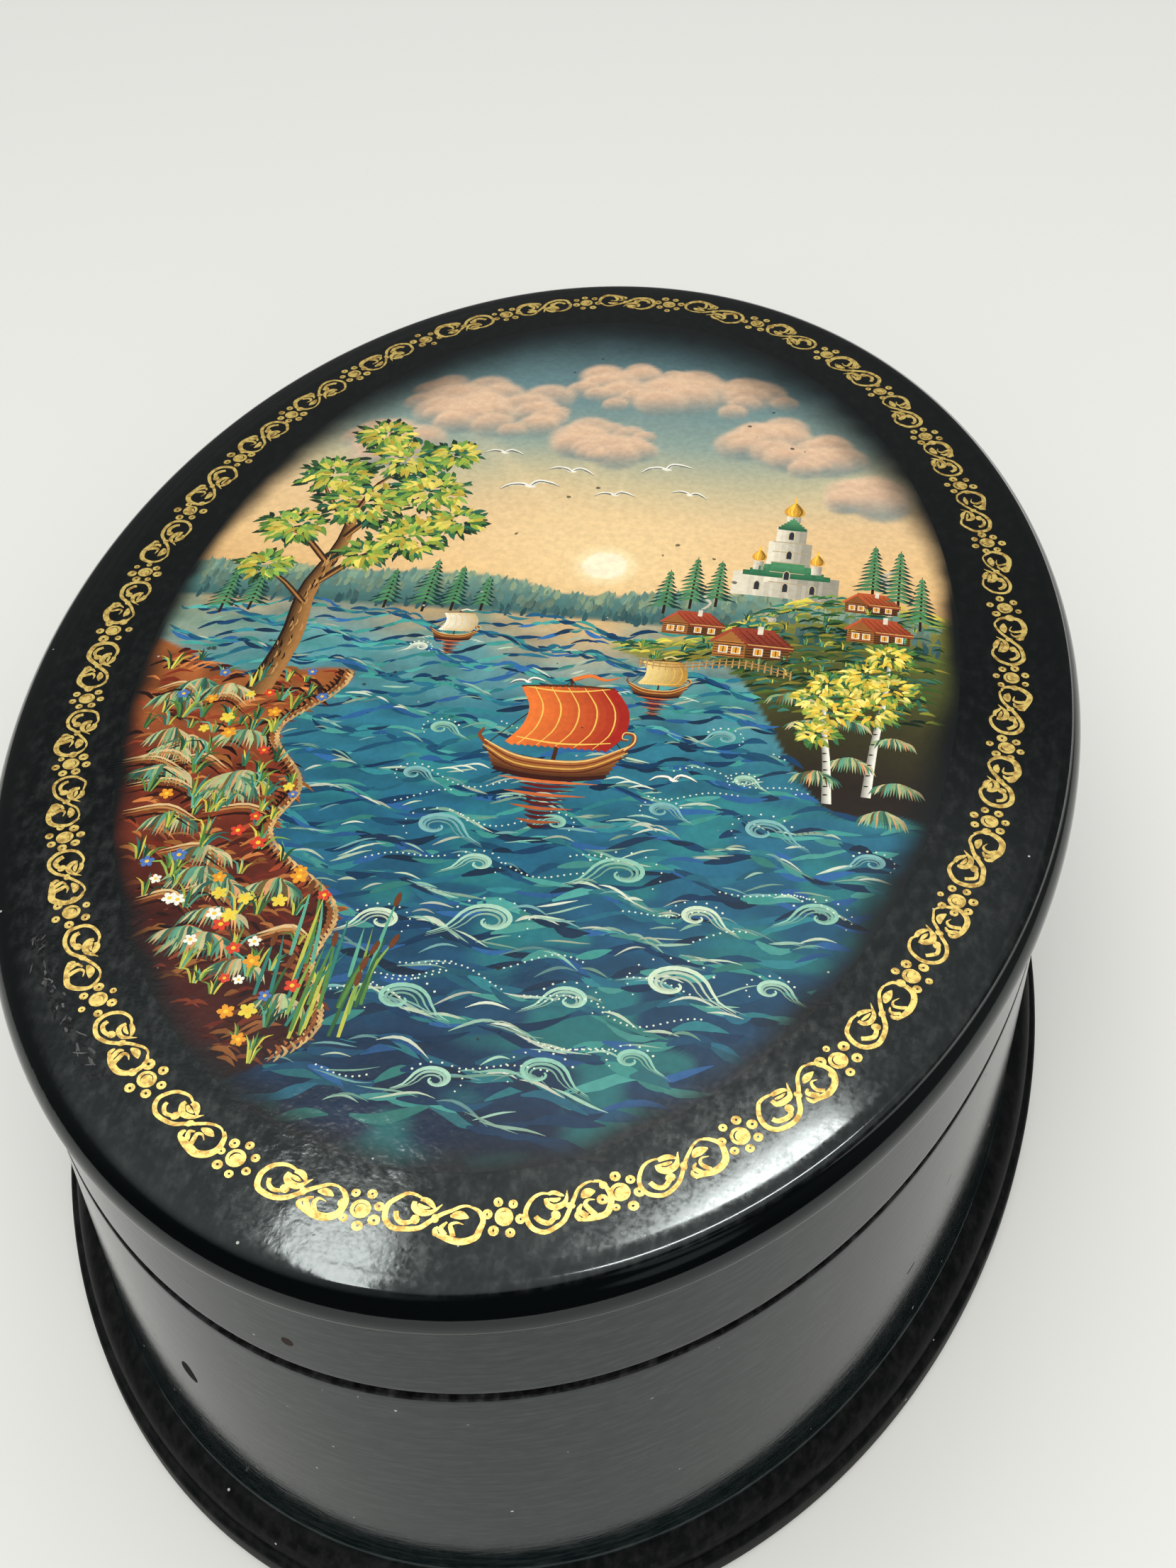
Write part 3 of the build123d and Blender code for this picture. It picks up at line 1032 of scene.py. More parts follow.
# %% Tempera finish
tempera, paint_tree, paint_surface = material_of("tempera_under_varnish", (0.3, 0.3, 0.3), 0.1)
paint_place = millimetres(paint_tree)
coat = varnished(paint_tree, paint_surface, lid_wave, lid_peel, 0.0, 0.4)
own = node(paint_tree, "Attribute", attribute_name="tint").outputs["Color"]
mottle = eased(noise(paint_place, 1.6, 4.0, 0.6), 0.25, 0.75, 0.90, 1.08)
broken = node(paint_tree, "HueSaturation", {"Color": own, "Value": mottle}).outputs[0]
specks = node(paint_tree, "TexVoronoi", {"Vector": paint_place, "Scale": 0.62}).outputs
chance = node(paint_tree, "SeparateColor", {0: specks["Color"]}).outputs["Green"]
where = eased(noise(paint_place, 0.07), 0.45, 0.62)
speck_reach = plus(times(eased(chance, 0.35, 1.0, 0.0, 0.17), where), 0.06)
ragged = plus(specks["Distance"], times(noise(paint_place, 5.0), 0.16))
speck = times(sums("LESS_THAN", ragged, speck_reach), 0.8)
dusted = blended(coat["Dust"], blended(speck, broken, (0.02, 0.018, 0.016)), dust_grey)
paint_tree.links.new(dusted, paint_surface.inputs["Base Color"])
paint_tree.links.new(plus(coat["Roughness"], 0.02), paint_surface.inputs["Roughness"])
print("tempera with", len(paint_tree.nodes), "nodes")

# %% The ground gets its washes
black_ground = np.array([0.0036, 0.0056, 0.0060])


def sunk(colours, x, y):
    """Colours that sink into the black towards the picture's edge."""
    share = edge_fade(x, y)[:, None]
    return colours * share + black_ground * (1 - share)


def dried_picture(name):
    """Turns the layer into one piece of the picture."""
    x, y, _ = np.vstack(paint["corners"]).T
    paint["tints"] = [sunk(np.vstack(paint["tints"]), x, y)]
    dried(name, tempera)


def inside_picture(x, y, limit=0.965):
    """True for a place that a whole stroke may start from."""
    return (x / picture_half[0]) ** 2 + (y / picture_half[1]) ** 2 < limit**2


def scattered(count, across, up, share, least, limit):
    """Chance places and their numbers: those inside the picture where a share is over the least."""
    for k in range(count):
        x, y = hand.uniform(*across), hand.uniform(*up)
        if share(x, y) > least and inside_picture(x, y, limit):
            yield k, x, y


tinted(ground.data, sunk(washes, ground_x, ground_y))
ground.data.materials.append(tempera)
settle(ground, "lid", "painted_lacquer")

# %% [markdown]
# ## Water
# The painter's way with water: many short strokes that follow the swell in blues and teals, then thin pale
# crests over them, curls of foam, and rows of white dots. Each row of the swell is one wavy line.

# %% The river
hand = new_layer(41)
blues = hues("123a5c 1b4f6e 23647a 2f7d86 3b8c84 163048 4b9a92 2b5f94")
pale = hues("8fc4ae a9d2ba cfe2c4 7fb5b4 dfe8d0")


def on_water(x, y, limit):
    """True inside the picture where neither the bank nor the hill lies."""
    return inside_picture(x, y, limit) and max(bank_share(x, y), hill_share(x, y)) < 0.3


def nearness(row):
    """0 at the far shore and 1 at the lower edge of the picture."""
    return (2 - row) / 53


def swell_line(x, row):
    """Height of one row of the swell, in the plane of the picture."""
    return row + 0.9 * np.sin(0.33 * x + 1.7 * row) + 0.45 * np.sin(0.81 * x + 0.6 * row)


for row in np.concatenate([np.arange(-51, -30, 1.15), np.arange(-30, -12, 1.0), np.arange(-12, 2.2, 0.8)]):
    near = nearness(row)
    x = -34 + hand.uniform(0, 3)
    while x < 34:
        long = hand.uniform(1.6, 4.2) * (0.6 + 0.8 * near)
        if on_water(x + long / 2, row, 0.98):
            xs = np.linspace(x, x + long, 4)
            ys = swell_line(xs, row) + hand.normal(0, 0.10)
            ys += 0.35 * hand.uniform(-1, 1) * np.sin(np.linspace(0, pi, 4))
            tint = picked(blues) * hand.uniform(0.7, 1.2) * (1.25 - 0.5 * near)
            width = hand.uniform(0.45, 0.95) * (0.6 + 0.6 * near)
            stroke(np.column_stack([xs, ys]), width, tint, int(hand.integers(2)), 6, 0.25, 0.1)
        x += long * hand.uniform(0.55, 0.95)
for k in range(640):
    x, row = hand.uniform(-33, 33), hand.uniform(-51, 0)
    if on_water(x, row, 0.95):
        near = nearness(row)
        long = hand.uniform(1.4, 3.6) * (0.5 + 0.8 * near)
        xs = np.linspace(x - long / 2, x + long / 2, 5)
        ys = swell_line(xs, row) + 0.3 + 0.4 * near * np.sin(np.linspace(0, pi, 5))
        tint = picked(pale) * hand.uniform(0.45, 0.95)
        stroke(np.column_stack([xs, ys]), hand.uniform(0.14, 0.30), tint, 2, 8, 0.1, 0.1)


def foam_curl(x, y, size, facing, tint):
    """A crest that rolls over: three lines that follow each other into a curl, and a row of white dots."""
    for line, (width, light) in enumerate(((0.36, 1), (0.24, 0.8), (0.17, 0.65))):
        reach = size * (1 - 0.2 * line)
        turns = np.linspace(0.1 * pi, (2.1 - 0.25 * line) * pi, 11)
        grow = np.linspace(1.0, 0.18, 11)
        xs = x + facing * reach * grow * np.cos(turns)
        ys = y + 0.72 * reach * grow * np.sin(turns) - 0.1 * line
        lead = [(x + facing * (reach + 0.9 * size + 0.5 * line), y - 0.75 * size - 0.18 * line),
                (x + facing * (reach + 0.35 * size), y - 0.42 * size)]
        points = np.vstack([lead, np.column_stack([xs, ys])])
        stroke(points, width * (0.6 + 0.2 * size), tint * light, 3, 26, 0.1, 0.35, 0.35)
    for k in range(9):
        turn = 0.15 * pi + 0.13 * k * pi
        dot(x + facing * 1.28 * size * cos(turn), y + 0.95 * size * sin(turn), 0.10 - 0.004 * k,
            "e6ecd6", 4, corners=6)


for x, y, size, facing in (
    (-5, -24, 2.0, 1), (10, -27, 2.3, -1), (20, -21, 1.9, 1), (1, -33, 2.3, -1), (15, -37, 2.5, 1),
    (-4, -41, 2.1, 1), (25, -29, 1.8, -1), (7, -46, 1.9, 1), (-7, -13, 1.2, 1), (16, -11, 1.2, -1),
    (-11, -3, 0.8, -1), (12, -20, 1.3, 1), (-1, -27.5, 1.4, -1), (16, -30.5, 1.6, 1), (-7, -34, 1.7, -1),
    (8, -39.5, 1.7, -1), (22, -36.5, 1.4, 1), (-8, -18.5, 1.2, 1), (0, -47.5, 1.5, -1), (18, -15.8, 1.0, 1),
    (28.5, -23, 1.3, -1), (13, -44, 1.3, 1), (4, -22.5, 1.2, -1),
):
    foam_curl(x, y, size, facing, picked(pale))
for k in range(34):
    x, row = hand.uniform(-12, 26), hand.uniform(-48, -12)
    for step in range(int(hand.integers(9, 17))):
        px = x + 0.46 * step
        py = float(swell_line(px, row)) + 0.7
        if on_water(px, py, 0.95):
            dot(px, py, 0.085, "dfe9d4", 4, corners=6)
dried_picture("picture_river")

# %% [markdown]
# ## Land
# The far forest is a row of upright dabs, paler with distance. The hill and the bank are modelled by the
# direction of the brush: short strokes that follow the slope, ledges picked out in light ochre, and tufts of
# grass and flowers over them.

# %% Forest, hill and bank
hand = new_layer(61)
greens = hues("2f5b33 4f7d3a 7fa046 b3b548 2d7468 58a086 d2c04c 1f4230")
browns = hues("4a1a12 7a2a18 a04426 c97a3f 2b0f0a 8f4a28 a5662f")
for k in range(620):
    x = hand.uniform(-33, 33)
    tall = far_top(x)
    y = tall - 0.3 - (tall - 3) * hand.random() ** 1.6
    high = np.clip((y - 3) / (tall - 3), 0, 1)
    tint = hue("31565a") * (1 - high) + hue(("86a48c", "9db08a", "6f9488")[k % 3]) * high
    stroke([(x - 0.1, y - 0.7), (x, y), (x + hand.normal(0, 0.12), y + 0.75)],
           hand.uniform(0.35, 0.7), tint * hand.uniform(0.75, 1.15), 1, 4, 0.5, 0.05)
for k, x, y in scattered(900, (4, 33), (-7, 10), hill_share, 0.5, 0.97):
    slope = 0.42 * (1 - abs(x - 15) / 14)
    long = hand.uniform(0.8, 2.2)
    near_top = soft_step(y - hill_top(x), -4, 0)
    tint = picked(greens) * (0.45 + 0.75 * near_top) * hand.uniform(0.7, 1.3)
    bow = hand.uniform(0.1, 0.35)
    stroke([(x - long / 2, y - slope * long / 2), (x, y + bow), (x + long / 2, y + slope * long / 2)],
           hand.uniform(0.2, 0.45), tint, 2, 5, 0.3, 0.1)
for k, x, y in scattered(1150, (-33, -6), (-50, -4), bank_share, 0.5, 0.98):
    long = hand.uniform(0.9, 2.6)
    fall = 0.55 * sin(0.35 * x + 0.5 * y)
    tint = picked(browns) * hand.uniform(0.55, 1.25) * (1.2 + (y + 4) / 70)
    stroke([(x - long / 2, y + fall * long / 2), (x, y + 0.22 * long), (x + long / 2, y - fall * long / 2)],
           hand.uniform(0.22, 0.55), tint, 2, 5, 0.3, 0.08)

# %% The edge of the bank, and its ledges
edge = np.linspace(-33, -4, 400)
for y in np.arange(-47, -7, 0.42):
    on_bank = edge[bank_share(edge, edge * 0 + y) > 0.5]
    if len(on_bank):
        x = on_bank[-1]
        for line, tint in ((0.0, "d9b071"), (0.45, "9a5a2c"), (0.85, "2b130c")):
            stroke([(x - line - 0.5, y + 0.45), (x - line, y), (x - line - 0.25, y - 0.55)], 0.26,
                   hue(tint) * hand.uniform(0.6, 1.1), 3, 5, 0.4, 0.2)
for k, x, y in scattered(26, (-31, -13), (-44, -9), lambda x, y: bank_share(x + 2, y), 0.5, 0.93):
    wide = hand.uniform(1.8, 3.6)
    for line, tint in enumerate(("e7c48c", "c08a4e", "83461f", "2a120b")):
        down = 0.34 * line
        arc = [(x - wide, y - 0.7 - down), (x, y + 0.35 - down), (x + wide * 0.9, y - 1.2 - down)]
        stroke(arc, 0.24, hue(tint) * 0.9, 3, 9, 0.1, 0.05)
print("forest, hill and bank hold", paint["strokes"], "strokes so far")

# %% Grass, flowers and reeds
grasses = hues("8fae7c 4f7f62 c7b98a 2f5f52 a9bd86 6a5a34 5f9a80 d9a06a")


def mound(x, y, wide, tall):
    """A mound of long grass: strokes that fall from its crest to both sides, each in another colour."""
    for k, side in enumerate(np.linspace(-1, 1, 19)):
        drop = 0.25 * tall * side * side
        line = [(x + 0.30 * wide * side, y + tall - drop), (x + 0.78 * wide * side, y + 0.72 * tall - drop),
                (x + 1.05 * wide * side, y - 0.25 * tall * hand.random())]
        tint = grasses[(k + hand.integers(2)) % len(grasses)] * hand.uniform(0.8, 1.15)
        stroke(line, 0.20 * wide * hand.uniform(0.5, 0.9), tint, 3, 7, 0.25, 0.05, 0.35)


def tuft(x, y, size, blades, level):
    """A tuft of grass: blades that fan out from one place."""
    for _ in range(blades):
        lean = hand.normal(0, 0.42)
        tall = size * hand.uniform(0.6, 1.1)
        line = [(x + 0.25 * lean, y), (x + 0.45 * lean * tall, y + 0.6 * tall),
                (x + lean * tall, y + tall * cos(lean))]
        tint = picked(greens) * hand.uniform(0.7, 1.25)
        stroke(line, 0.10 + 0.045 * size, tint, level, 5, 0.6, 0.02, 0.3)


mounds = [(hand.uniform(-31, -11), hand.uniform(-45, -9)) for k in range(60)]
for x, y in sorted(mounds, key=lambda place: -place[1]):
    if bank_share(x + 3.2, y) > 0.5 and inside_picture(x, y, 0.94):
        mound(x, y, hand.uniform(1.9, 3.1), hand.uniform(1.5, 2.4))
for x, y in (
    (29.5, -10), (26, -8.5), (22.8, -9), (30, -15.5), (26.2, -13.2), (21.0, -6.0), (23.6, -15.2),
    (29.0, -19.0),
):
    if inside_picture(x, y, 0.95):
        mound(x, y, hand.uniform(1.7, 2.3), hand.uniform(1.2, 1.8))
for k, x, y in scattered(170, (-32, -8), (-48, -5), bank_share, 0.6, 0.96):
    tuft(x, y, hand.uniform(1.3, 2.8), 6, 4)
for k, x, y in scattered(70, (7, 31), (-5, 7), hill_share, 0.6, 0.96):
    tuft(x, y, hand.uniform(0.7, 1.3), 5, 3)
for k, x, y in scattered(90, (-31, -8), (-47, -7), bank_share, 0.6, 0.95):
    petal = ("d8432c", "f0efe2", "e79a2b", "4f74b8", "e7d04a")[k % 5]
    size = hand.uniform(0.16, 0.27)
    for turn in np.arange(5) * 1.257 + hand.uniform(0, 6):
        dot(x + 1.5 * size * cos(turn), y + 1.5 * size * sin(turn), size, petal, 6, 1.3, turn, 6)
    dot(x, y, size * 0.8, "f2c83a", 7, corners=6)
for k in range(26):
    x, y = hand.uniform(-15, -6.5), hand.uniform(-46, -38)
    tall, lean = hand.uniform(4.5, 8.5), hand.normal(0.1, 0.12)
    reed = [(x, y), (x + 0.4 * lean * tall, y + 0.55 * tall), (x + lean * tall, y + tall)]
    stroke(reed, 0.3, picked(greens[:6]) * 1.1, 6, 8, 0.8, 0.05, 0.2)
    if k % 3 == 0:
        dot(x + lean * tall * 0.9, y + tall * 0.92, 0.24, "6b3a1c", 7, 3.2, pi / 2 - lean, 8)
dried_picture("picture_land")

# %% [markdown]
# ## The village
# Log houses stand on the hill around a white tower. Each house is a gabled front and a long side in the
# shade, drawn log by log. Flat walls are patches a few millimetres wide, which the dome leaves flat enough.

# %% Helper: a house
new_layer()


def filled(first, last, rows, tint, to_tint, level, steps=6, ends=(0.85, 0.85)):
    """Fills the form between two lines with strokes side by side, from one colour to another."""
    first, last = smooth_line(first, 8), smooth_line(last, 8)
    gap = np.mean(np.hypot(*(last - first).T)) / (rows - 1)
    for t in np.linspace(0, 1, rows):
        shade = hue(tint) * (1 - t) + hue(to_tint) * t
        stroke(first * (1 - t) + last * t, gap * 1.55, shade, level, steps, *ends)


def panel(left, low, right, high, tint, level):
    """An upright board or pane, by its four sides."""
    patch([(left, low), (right, low), (right, high), (left, high)], tint, level)


def house(x, y, size, logs, roof):
    """A log house: a lit gabled front, a shaded side, a roof, windows and a chimney with smoke."""
    front, side, tall, gable = 2.3 * size, 3.1 * size, 1.7 * size, 1.3 * size
    edge, far, top = x + front, x + front + side, y + tall
    patch([(x, y), (edge, y), (edge, top), (x + front / 2, top + gable), (x, top)], logs, 3)
    patch([(edge, y), (far, y + 0.2 * size), (far, top), (edge, top)], logs * 0.45, 3)
    for k in range(6):
        up = y + (0.16 + 0.29 * k) * size
        over = up + 0.1 * size
        stroke([(x + 0.05, up), (edge - 0.05, up)], 0.09 * size, "2a140b", 4, 4, 0.7, 0.6)
        stroke([(x + 0.05, over), (edge - 0.05, over)], 0.07 * size, logs * 1.6, 4, 4, 0.7, 0.5)
        stroke([(edge + 0.05, up), (far, over)], 0.09 * size, "160a06", 4, 4, 0.7, 0.6)
    eave, ridge = top - 0.15 * size, top + gable + 0.1 * size
    low = [(x + front * 1.06, eave), (far + 0.3 * size, eave)]
    high = [(x + front / 2, ridge), (x + front / 2 + side, ridge)]
    filled(low, high, 6, roof * 0.7, roof * 1.15, 5, 5, (0.95, 0.9))
    for k in range(7):
        base = (low[0][0] + k / 6 * (low[1][0] - low[0][0]), eave)
        stroke([base, (high[0][0] + k / 6 * side, ridge)], 0.07 * size, roof * 0.35, 6, 4, 0.6, 0.6)
    stroke([(x - 0.25 * size, eave), high[0]], 0.26 * size, roof * 1.5, 6, 4, 0.8, 0.9)
    stroke([(edge + 0.2 * size, eave), high[0]], 0.22 * size, roof * 1.2, 6, 4, 0.8, 0.9)
    stroke(low, 0.12 * size, "d9a860", 6, 4, 0.8, 0.8)
    for middle in (x + 0.32 * front, x + 0.72 * front, edge + 0.3 * side, edge + 0.7 * side):
        left, sill = middle - 0.24 * size, y + 0.5 * size
        right, lintel = left + 0.48 * size, sill + 0.62 * size
        for grow, tint, level in ((0.1 * size, "e9e3cf", 6), (0.0, "e8a33a", 7)):
            panel(left - grow, sill - grow, right + grow, lintel + grow, tint, level)
        stroke([(middle, sill), (middle, lintel)], 0.07 * size, "5a2a14", 8, 3, 0.9, 0.9)
    flue = high[0][0] + 0.6 * side
    panel(flue, ridge - 0.3 * size, flue + 0.4 * size, ridge + 0.6 * size, "e6dcc6", 7)
    smoke = np.array([(flue + 0.2, ridge + 0.7), (flue + 0.9, ridge + 1.7), (flue + 0.3, ridge + 2.7),
                      (flue + 1.3, ridge + 4.0)])
    for k in range(3):
        shade = hue("cfc4ae") * (1 - 0.12 * k)
        stroke(smoke + (0.22 * k, 0.1 * k), 0.3, shade, 1, 12, 0.3, 0.05, 0.6)


# %% The tower, the houses and a fence
white_wall, gold_leaf = hue("f1e8d0"), hue("dba23a")
tower_x, tower_y = 19.2, 8.6


def block(x, y, wide, high, tint, level):
    """A white wall: lit at the left, shaded towards the right."""
    left, right = [(x, y), (x, y + high)], [(x + wide, y), (x + wide, y + high)]
    filled(left, right, 6, tint, tint * 0.42, level, 5, (1, 1))


def onion(x, y, size):
    """A small onion dome with a light side, a dark side and a ball on its tip."""
    bulge = [
        (size * cos(t) * (1 - 0.12 * sin(t)), 0.95 * size * sin(t) + 0.55 * size * max(0, sin(t)) ** 6)
        for t in np.linspace(-0.42 * pi, 1.42 * pi, 17)
    ]
    patch([(x + a, y + b) for a, b in bulge], gold_leaf, 5)
    for share, light in ((-0.62, 1.5), (-0.3, 1.9), (0.05, 1.1), (0.4, 0.65), (0.7, 0.35)):
        line = [(x + share * 0.62 * size, y - 0.8 * size), (x + share * size, y),
                (x + share * 0.5 * size, y + 0.95 * size), (x, y + 1.5 * size)]
        stroke(line, 0.24 * size, gold_leaf * light, 6, 8, 0.5, 0.1)
    stroke([(x, y + 1.4 * size), (x, y + 2.5 * size)], 0.12, gold_leaf * 1.5, 6, 3, 0.9, 0.7)
    dot(x, y + 1.75 * size, 0.16, gold_leaf * 1.7, 7, corners=8)


# Blocks of the tower: left side, foot, width, height, brightness and level
for left, low, wide, high, light, level in (
    (-3.6, -0.6, 7.2, 3.4, 0.9, 2), (-1.5, 1.5, 3.0, 6.2, 1, 3), (-1.05, 7.6, 2.1, 2.4, 1, 3),
    (-0.5, 11.0, 1.0, 1.0, 1, 3),
):
    block(tower_x + left, tower_y + low, wide, high, white_wall * light, level)
# Its green roofs: half width and height of the eave, then of the top, rows of strokes and two colours
for half, low, top_half, high, rows, tint, to_tint in (
    (3.9, 2.7, 1.5, 4.2, 5, "2f6b4a", "4d8f62"), (1.3, 9.9, 0.1, 11.4, 6, "2b6446", "5c9a6a"),
):
    filled([(tower_x - half, tower_y + low), (tower_x + half, tower_y + low)],
           [(tower_x - top_half, tower_y + high), (tower_x + top_half, tower_y + high)],
           rows, tint, to_tint, 4)
onion(tower_x, tower_y + 12.7, 0.95)
for side in (-2.6, 2.6):
    block(tower_x + side - 0.35, tower_y + 3.2, 0.7, 1.3, white_wall * 0.95, 4)
    onion(tower_x + side, tower_y + 5.2, 0.66)
for up in (0.0, 1.5, 3.0, 4.6, 6.1):
    level_line = [(tower_x - 1.55, tower_y + 1.6 + up), (tower_x + 1.55, tower_y + 1.6 + up)]
    stroke(level_line, 0.14, "b9a988", 5, 4, 0.9, 0.8)
for up, across in ((2.1, 0), (5.2, 0), (8.2, 0), (0.3, -2.5), (0.3, 0), (0.3, 2.4)):
    middle, low = tower_x + across, tower_y + up
    arch = [(middle - 0.26, low), (middle + 0.26, low), (middle + 0.26, low + 0.9), (middle, low + 1.25),
            (middle - 0.26, low + 0.9)]
    patch(arch, "2c3038", 6)
    stroke([arch[k] for k in (0, 4, 3, 2, 1)], 0.10, "cdbb93", 7, 9, 0.9, 0.9)
for x, y, size, logs, roof in (
    (9.2, 1.6, 0.95, "9c6130", "a2432b"), (24.6, 7.0, 0.85, "8a5228", "b0532c"),
    (13.8, -0.8, 1.2, "a86c34", "8e3a28"), (25.0, 3.0, 1.0, "9a5e2c", "a8492a"),
):
    house(x, y, size, hue(logs), hue(roof))


def fence_foot(x):
    """Height of the ground under the fence."""
    return -2.6 + 0.6 * sin(x / 2.1)


for x in np.arange(8.0, 21.0, 0.55):
    stroke([(x, fence_foot(x) - 0.2), (x, fence_foot(x) + 1.0)], 0.14, "c29a62", 8, 3, 0.9, 0.4)
for up in (0.25, 0.65):
    rail = [(x, fence_foot(x) + up) for x in np.linspace(7.8, 20.8, 9)]
    stroke(rail, 0.12, "a97c46", 8, 24, 0.9, 0.7)
dried_picture("picture_village")

# %% [markdown]
# ## Trees
# A tree is a trunk with lit and shaded strokes, limbs, and leaves dabbed in three passes: dark, middle and
# light. The light comes from the sun, so the dabs that face it are yellow. Firs are tiers of hanging strokes.

# %% Helper: a trunk and a crown of leaves
hand = new_layer(81)


def trunk(path, wide, bark, lit):
    """A trunk that thins upwards, with dark bark at one side and light on the other."""
    path = np.asarray(path, float)
    taper = np.linspace(1.0, 0.35, len(path))[:, None]
    for k in range(7):
        across = wide * (k / 6 - 0.5)
        tint = hue(bark) * (1 - k / 6) + hue(lit) * (k / 6)
        stroke(path + np.array([[across, 0]]) * taper, wide * 0.27, tint, 3, 14, 1.0, 0.35, 0.1)


def crown(clusters, shades, dabs, size, toward):
    """Leaves in round clusters, dabbed dark first and light last, thickest where the light falls."""
    passes = zip(shades, (1.0, 0.88, 0.74), (0.0, 0.25, 0.5))
    for level, (shade, reach, share) in enumerate(passes, 4):
        for x, y, radius in clusters:
            for k in range(int(dabs * radius)):
                turn, out = hand.uniform(0, 2 * pi), sqrt(hand.random()) * reach
                px = x + radius * (out * cos(turn) + 0.55 * share * toward[0])
                py = y + 0.8 * radius * (out * sin(turn) + 0.55 * share * toward[1])
                lean = turn + hand.normal(0, 0.7)
                long = size * hand.uniform(0.7, 1.3)
                tip = (px + long * cos(lean), py + long * sin(lean) - 0.15)
                middle = ((px + tip[0]) / 2 + 0.12 * sin(lean), (py + tip[1]) / 2 + 0.12)
                tint = picked(shade) * hand.uniform(0.75, 1.25)
                stroke([(px, py), middle, tip], size * hand.uniform(0.32, 0.5), tint, level, 4, 0.5, 0.05)


# %% The trees
deep_leaf = hues("1d3a22 24492b 183028 2b5230")
middle_leaf = hues("3f7136 58873b 2f6a52 6d9440")
light_leaf = hues("9fb545 c9c452 e2cf62 84ab4b b8a33c")
birch_leaves = (middle_leaf, hues("a8ad3e c5b23f 8ea447"), hues("ecd55a f3e07a dcb53c"))
trunk([(-23.6, -10.5), (-22.6, -3), (-22.9, 4), (-21.6, 11), (-21.8, 18)], 1.9, "25140d", "a6743f")
for limb, wide in (
    ([(-22.4, 5), (-19.5, 9), (-16.0, 11.5)], 0.8), ([(-22.2, 8), (-25.5, 12), (-27.8, 13)], 0.7),
    ([(-21.6, 12), (-19, 17), (-15.5, 19)], 0.7), ([(-21.8, 14), (-24.5, 18), (-26.0, 21)], 0.6),
    ([(-22.8, 2), (-26.0, 5.5), (-28.5, 6.5)], 0.6), ([(-21.6, 16), (-20.5, 21), (-18, 24)], 0.5),
):
    stroke(limb, wide, "3a2113", 3, 9, 0.9, 0.2, 0.1)
    stroke(np.array(limb) + (0.1, -0.12), wide * 0.35, "a9773f", 4, 9, 0.9, 0.1, 0.1)
for k in range(46):
    y = hand.uniform(-9.5, 9)
    x = -23.0 + 0.09 * (y + 5) + hand.uniform(-0.7, 0.7)
    bark = "1a0d08" if k % 2 else "c4965a"
    stroke([(x, y), (x + 0.12, y + 0.5), (x, y + 1.0)], 0.14, bark, 4, 4, 0.4, 0.1)
crown(((-16, 12.5, 3.6), (-27, 13.5, 3.0), (-21.5, 17.5, 4.2), (-15.5, 20, 3.6), (-25.2, 22, 3.4),
       (-19, 25.5, 4.0), (-28.2, 7.2, 2.2), (-12.0, 15.6, 2.4), (-22, 29.5, 2.6), (-14.5, 26.5, 2.2),
       (-19.5, 9.6, 2.0)),
      (deep_leaf, middle_leaf, light_leaf), 17, 1.25, (0.6, 0.3))


def birch(x, y, tall, lean, clusters):
    """A white trunk with dark marks, and small yellow leaves."""
    path = [(x, y), (x + 0.3 * lean, y + 0.35 * tall), (x + 0.8 * lean, y + 0.7 * tall), (x + lean, y + tall)]
    trunk(path, 0.62, "8d8a80", "f4f0e2")
    for a, b in smooth_line(path, 30)[2:26:2]:
        stroke([(a - 0.28, b), (a + 0.1, b + 0.06)], 0.16, "1a1714", 4, 3, 0.8, 0.2)
    crown([(x + a, y + b, radius) for a, b, radius in clusters], birch_leaves, 15, 0.8, (-0.6, 0.2))


birch(27.6, -16.0, 17, 1.2,
      ((0.3, 10, 2.0), (1.9, 13, 2.2), (-0.6, 14.5, 1.9), (1.2, 17.5, 1.9), (-1.6, 11.5, 1.4)))
birch(24.6, -17.2, 13, -1.0, ((-1.2, 8, 1.6), (-0.2, 10.5, 1.8), (-1.8, 12, 1.6), (-0.6, 14.2, 1.4)))


def fir(x, y, tall, wide):
    """A fir: tiers of hanging strokes, dark below and light on the side of the sun."""
    stroke([(x, y - 0.4), (x, y + tall)], 0.25, "2a1a10", 2, 4, 1.0, 0.2)
    tiers = int(tall / 0.62)
    for k in range(tiers):
        up = y + tall * (0.12 + 0.86 * k / tiers)
        reach = wide * (1 - k / tiers) ** 0.85 + 0.12
        for side in (-1, 1):
            for layer in range(3):
                out = reach * hand.uniform(0.75, 1.1) * (1 - 0.25 * layer)
                line = [(x, up + 0.35), (x + side * out * 0.55, up + 0.02),
                        (x + side * out, up - 0.05 - 0.16 * out)]
                shaded = layer == 0 or (side > 0 and layer == 1)
                tint = hue("163a35" if shaded else "4f8a5c") * hand.uniform(0.8, 1.2)
                stroke(line, 0.30, tint, 3 + layer, 5, 0.9, 0.1, 0.25)


for x, y, tall, wide in (
    (-9.5, 2.6, 6.2, 1.5), (-12.0, 2.2, 7.4, 1.8), (-6.9, 2.9, 4.6, 1.2), (-15.5, 2.4, 5.4, 1.4),
    (-27.5, 1.0, 6.0, 1.6), (-30.0, 0.4, 6.6, 1.6), (9.0, 4.6, 6.0, 1.5), (11.2, 5.6, 7.2, 1.7),
    (13.4, 6.2, 6.4, 1.5), (29.2, 8.2, 8.6, 2.0), (26.9, 9.6, 7.6, 1.7), (31.2, 5.8, 7.4, 1.8),
):
    fir(x, y, tall, wide)
dried_picture("picture_trees")

# %% [markdown]
# ## The boats and the birds
# The nearest boat carries the warmest colour of the picture, as such miniatures like to have it: a red sail
# with gold lines, and its image broken in the water below. White birds circle over it.

# %% Boats and birds
new_layer()


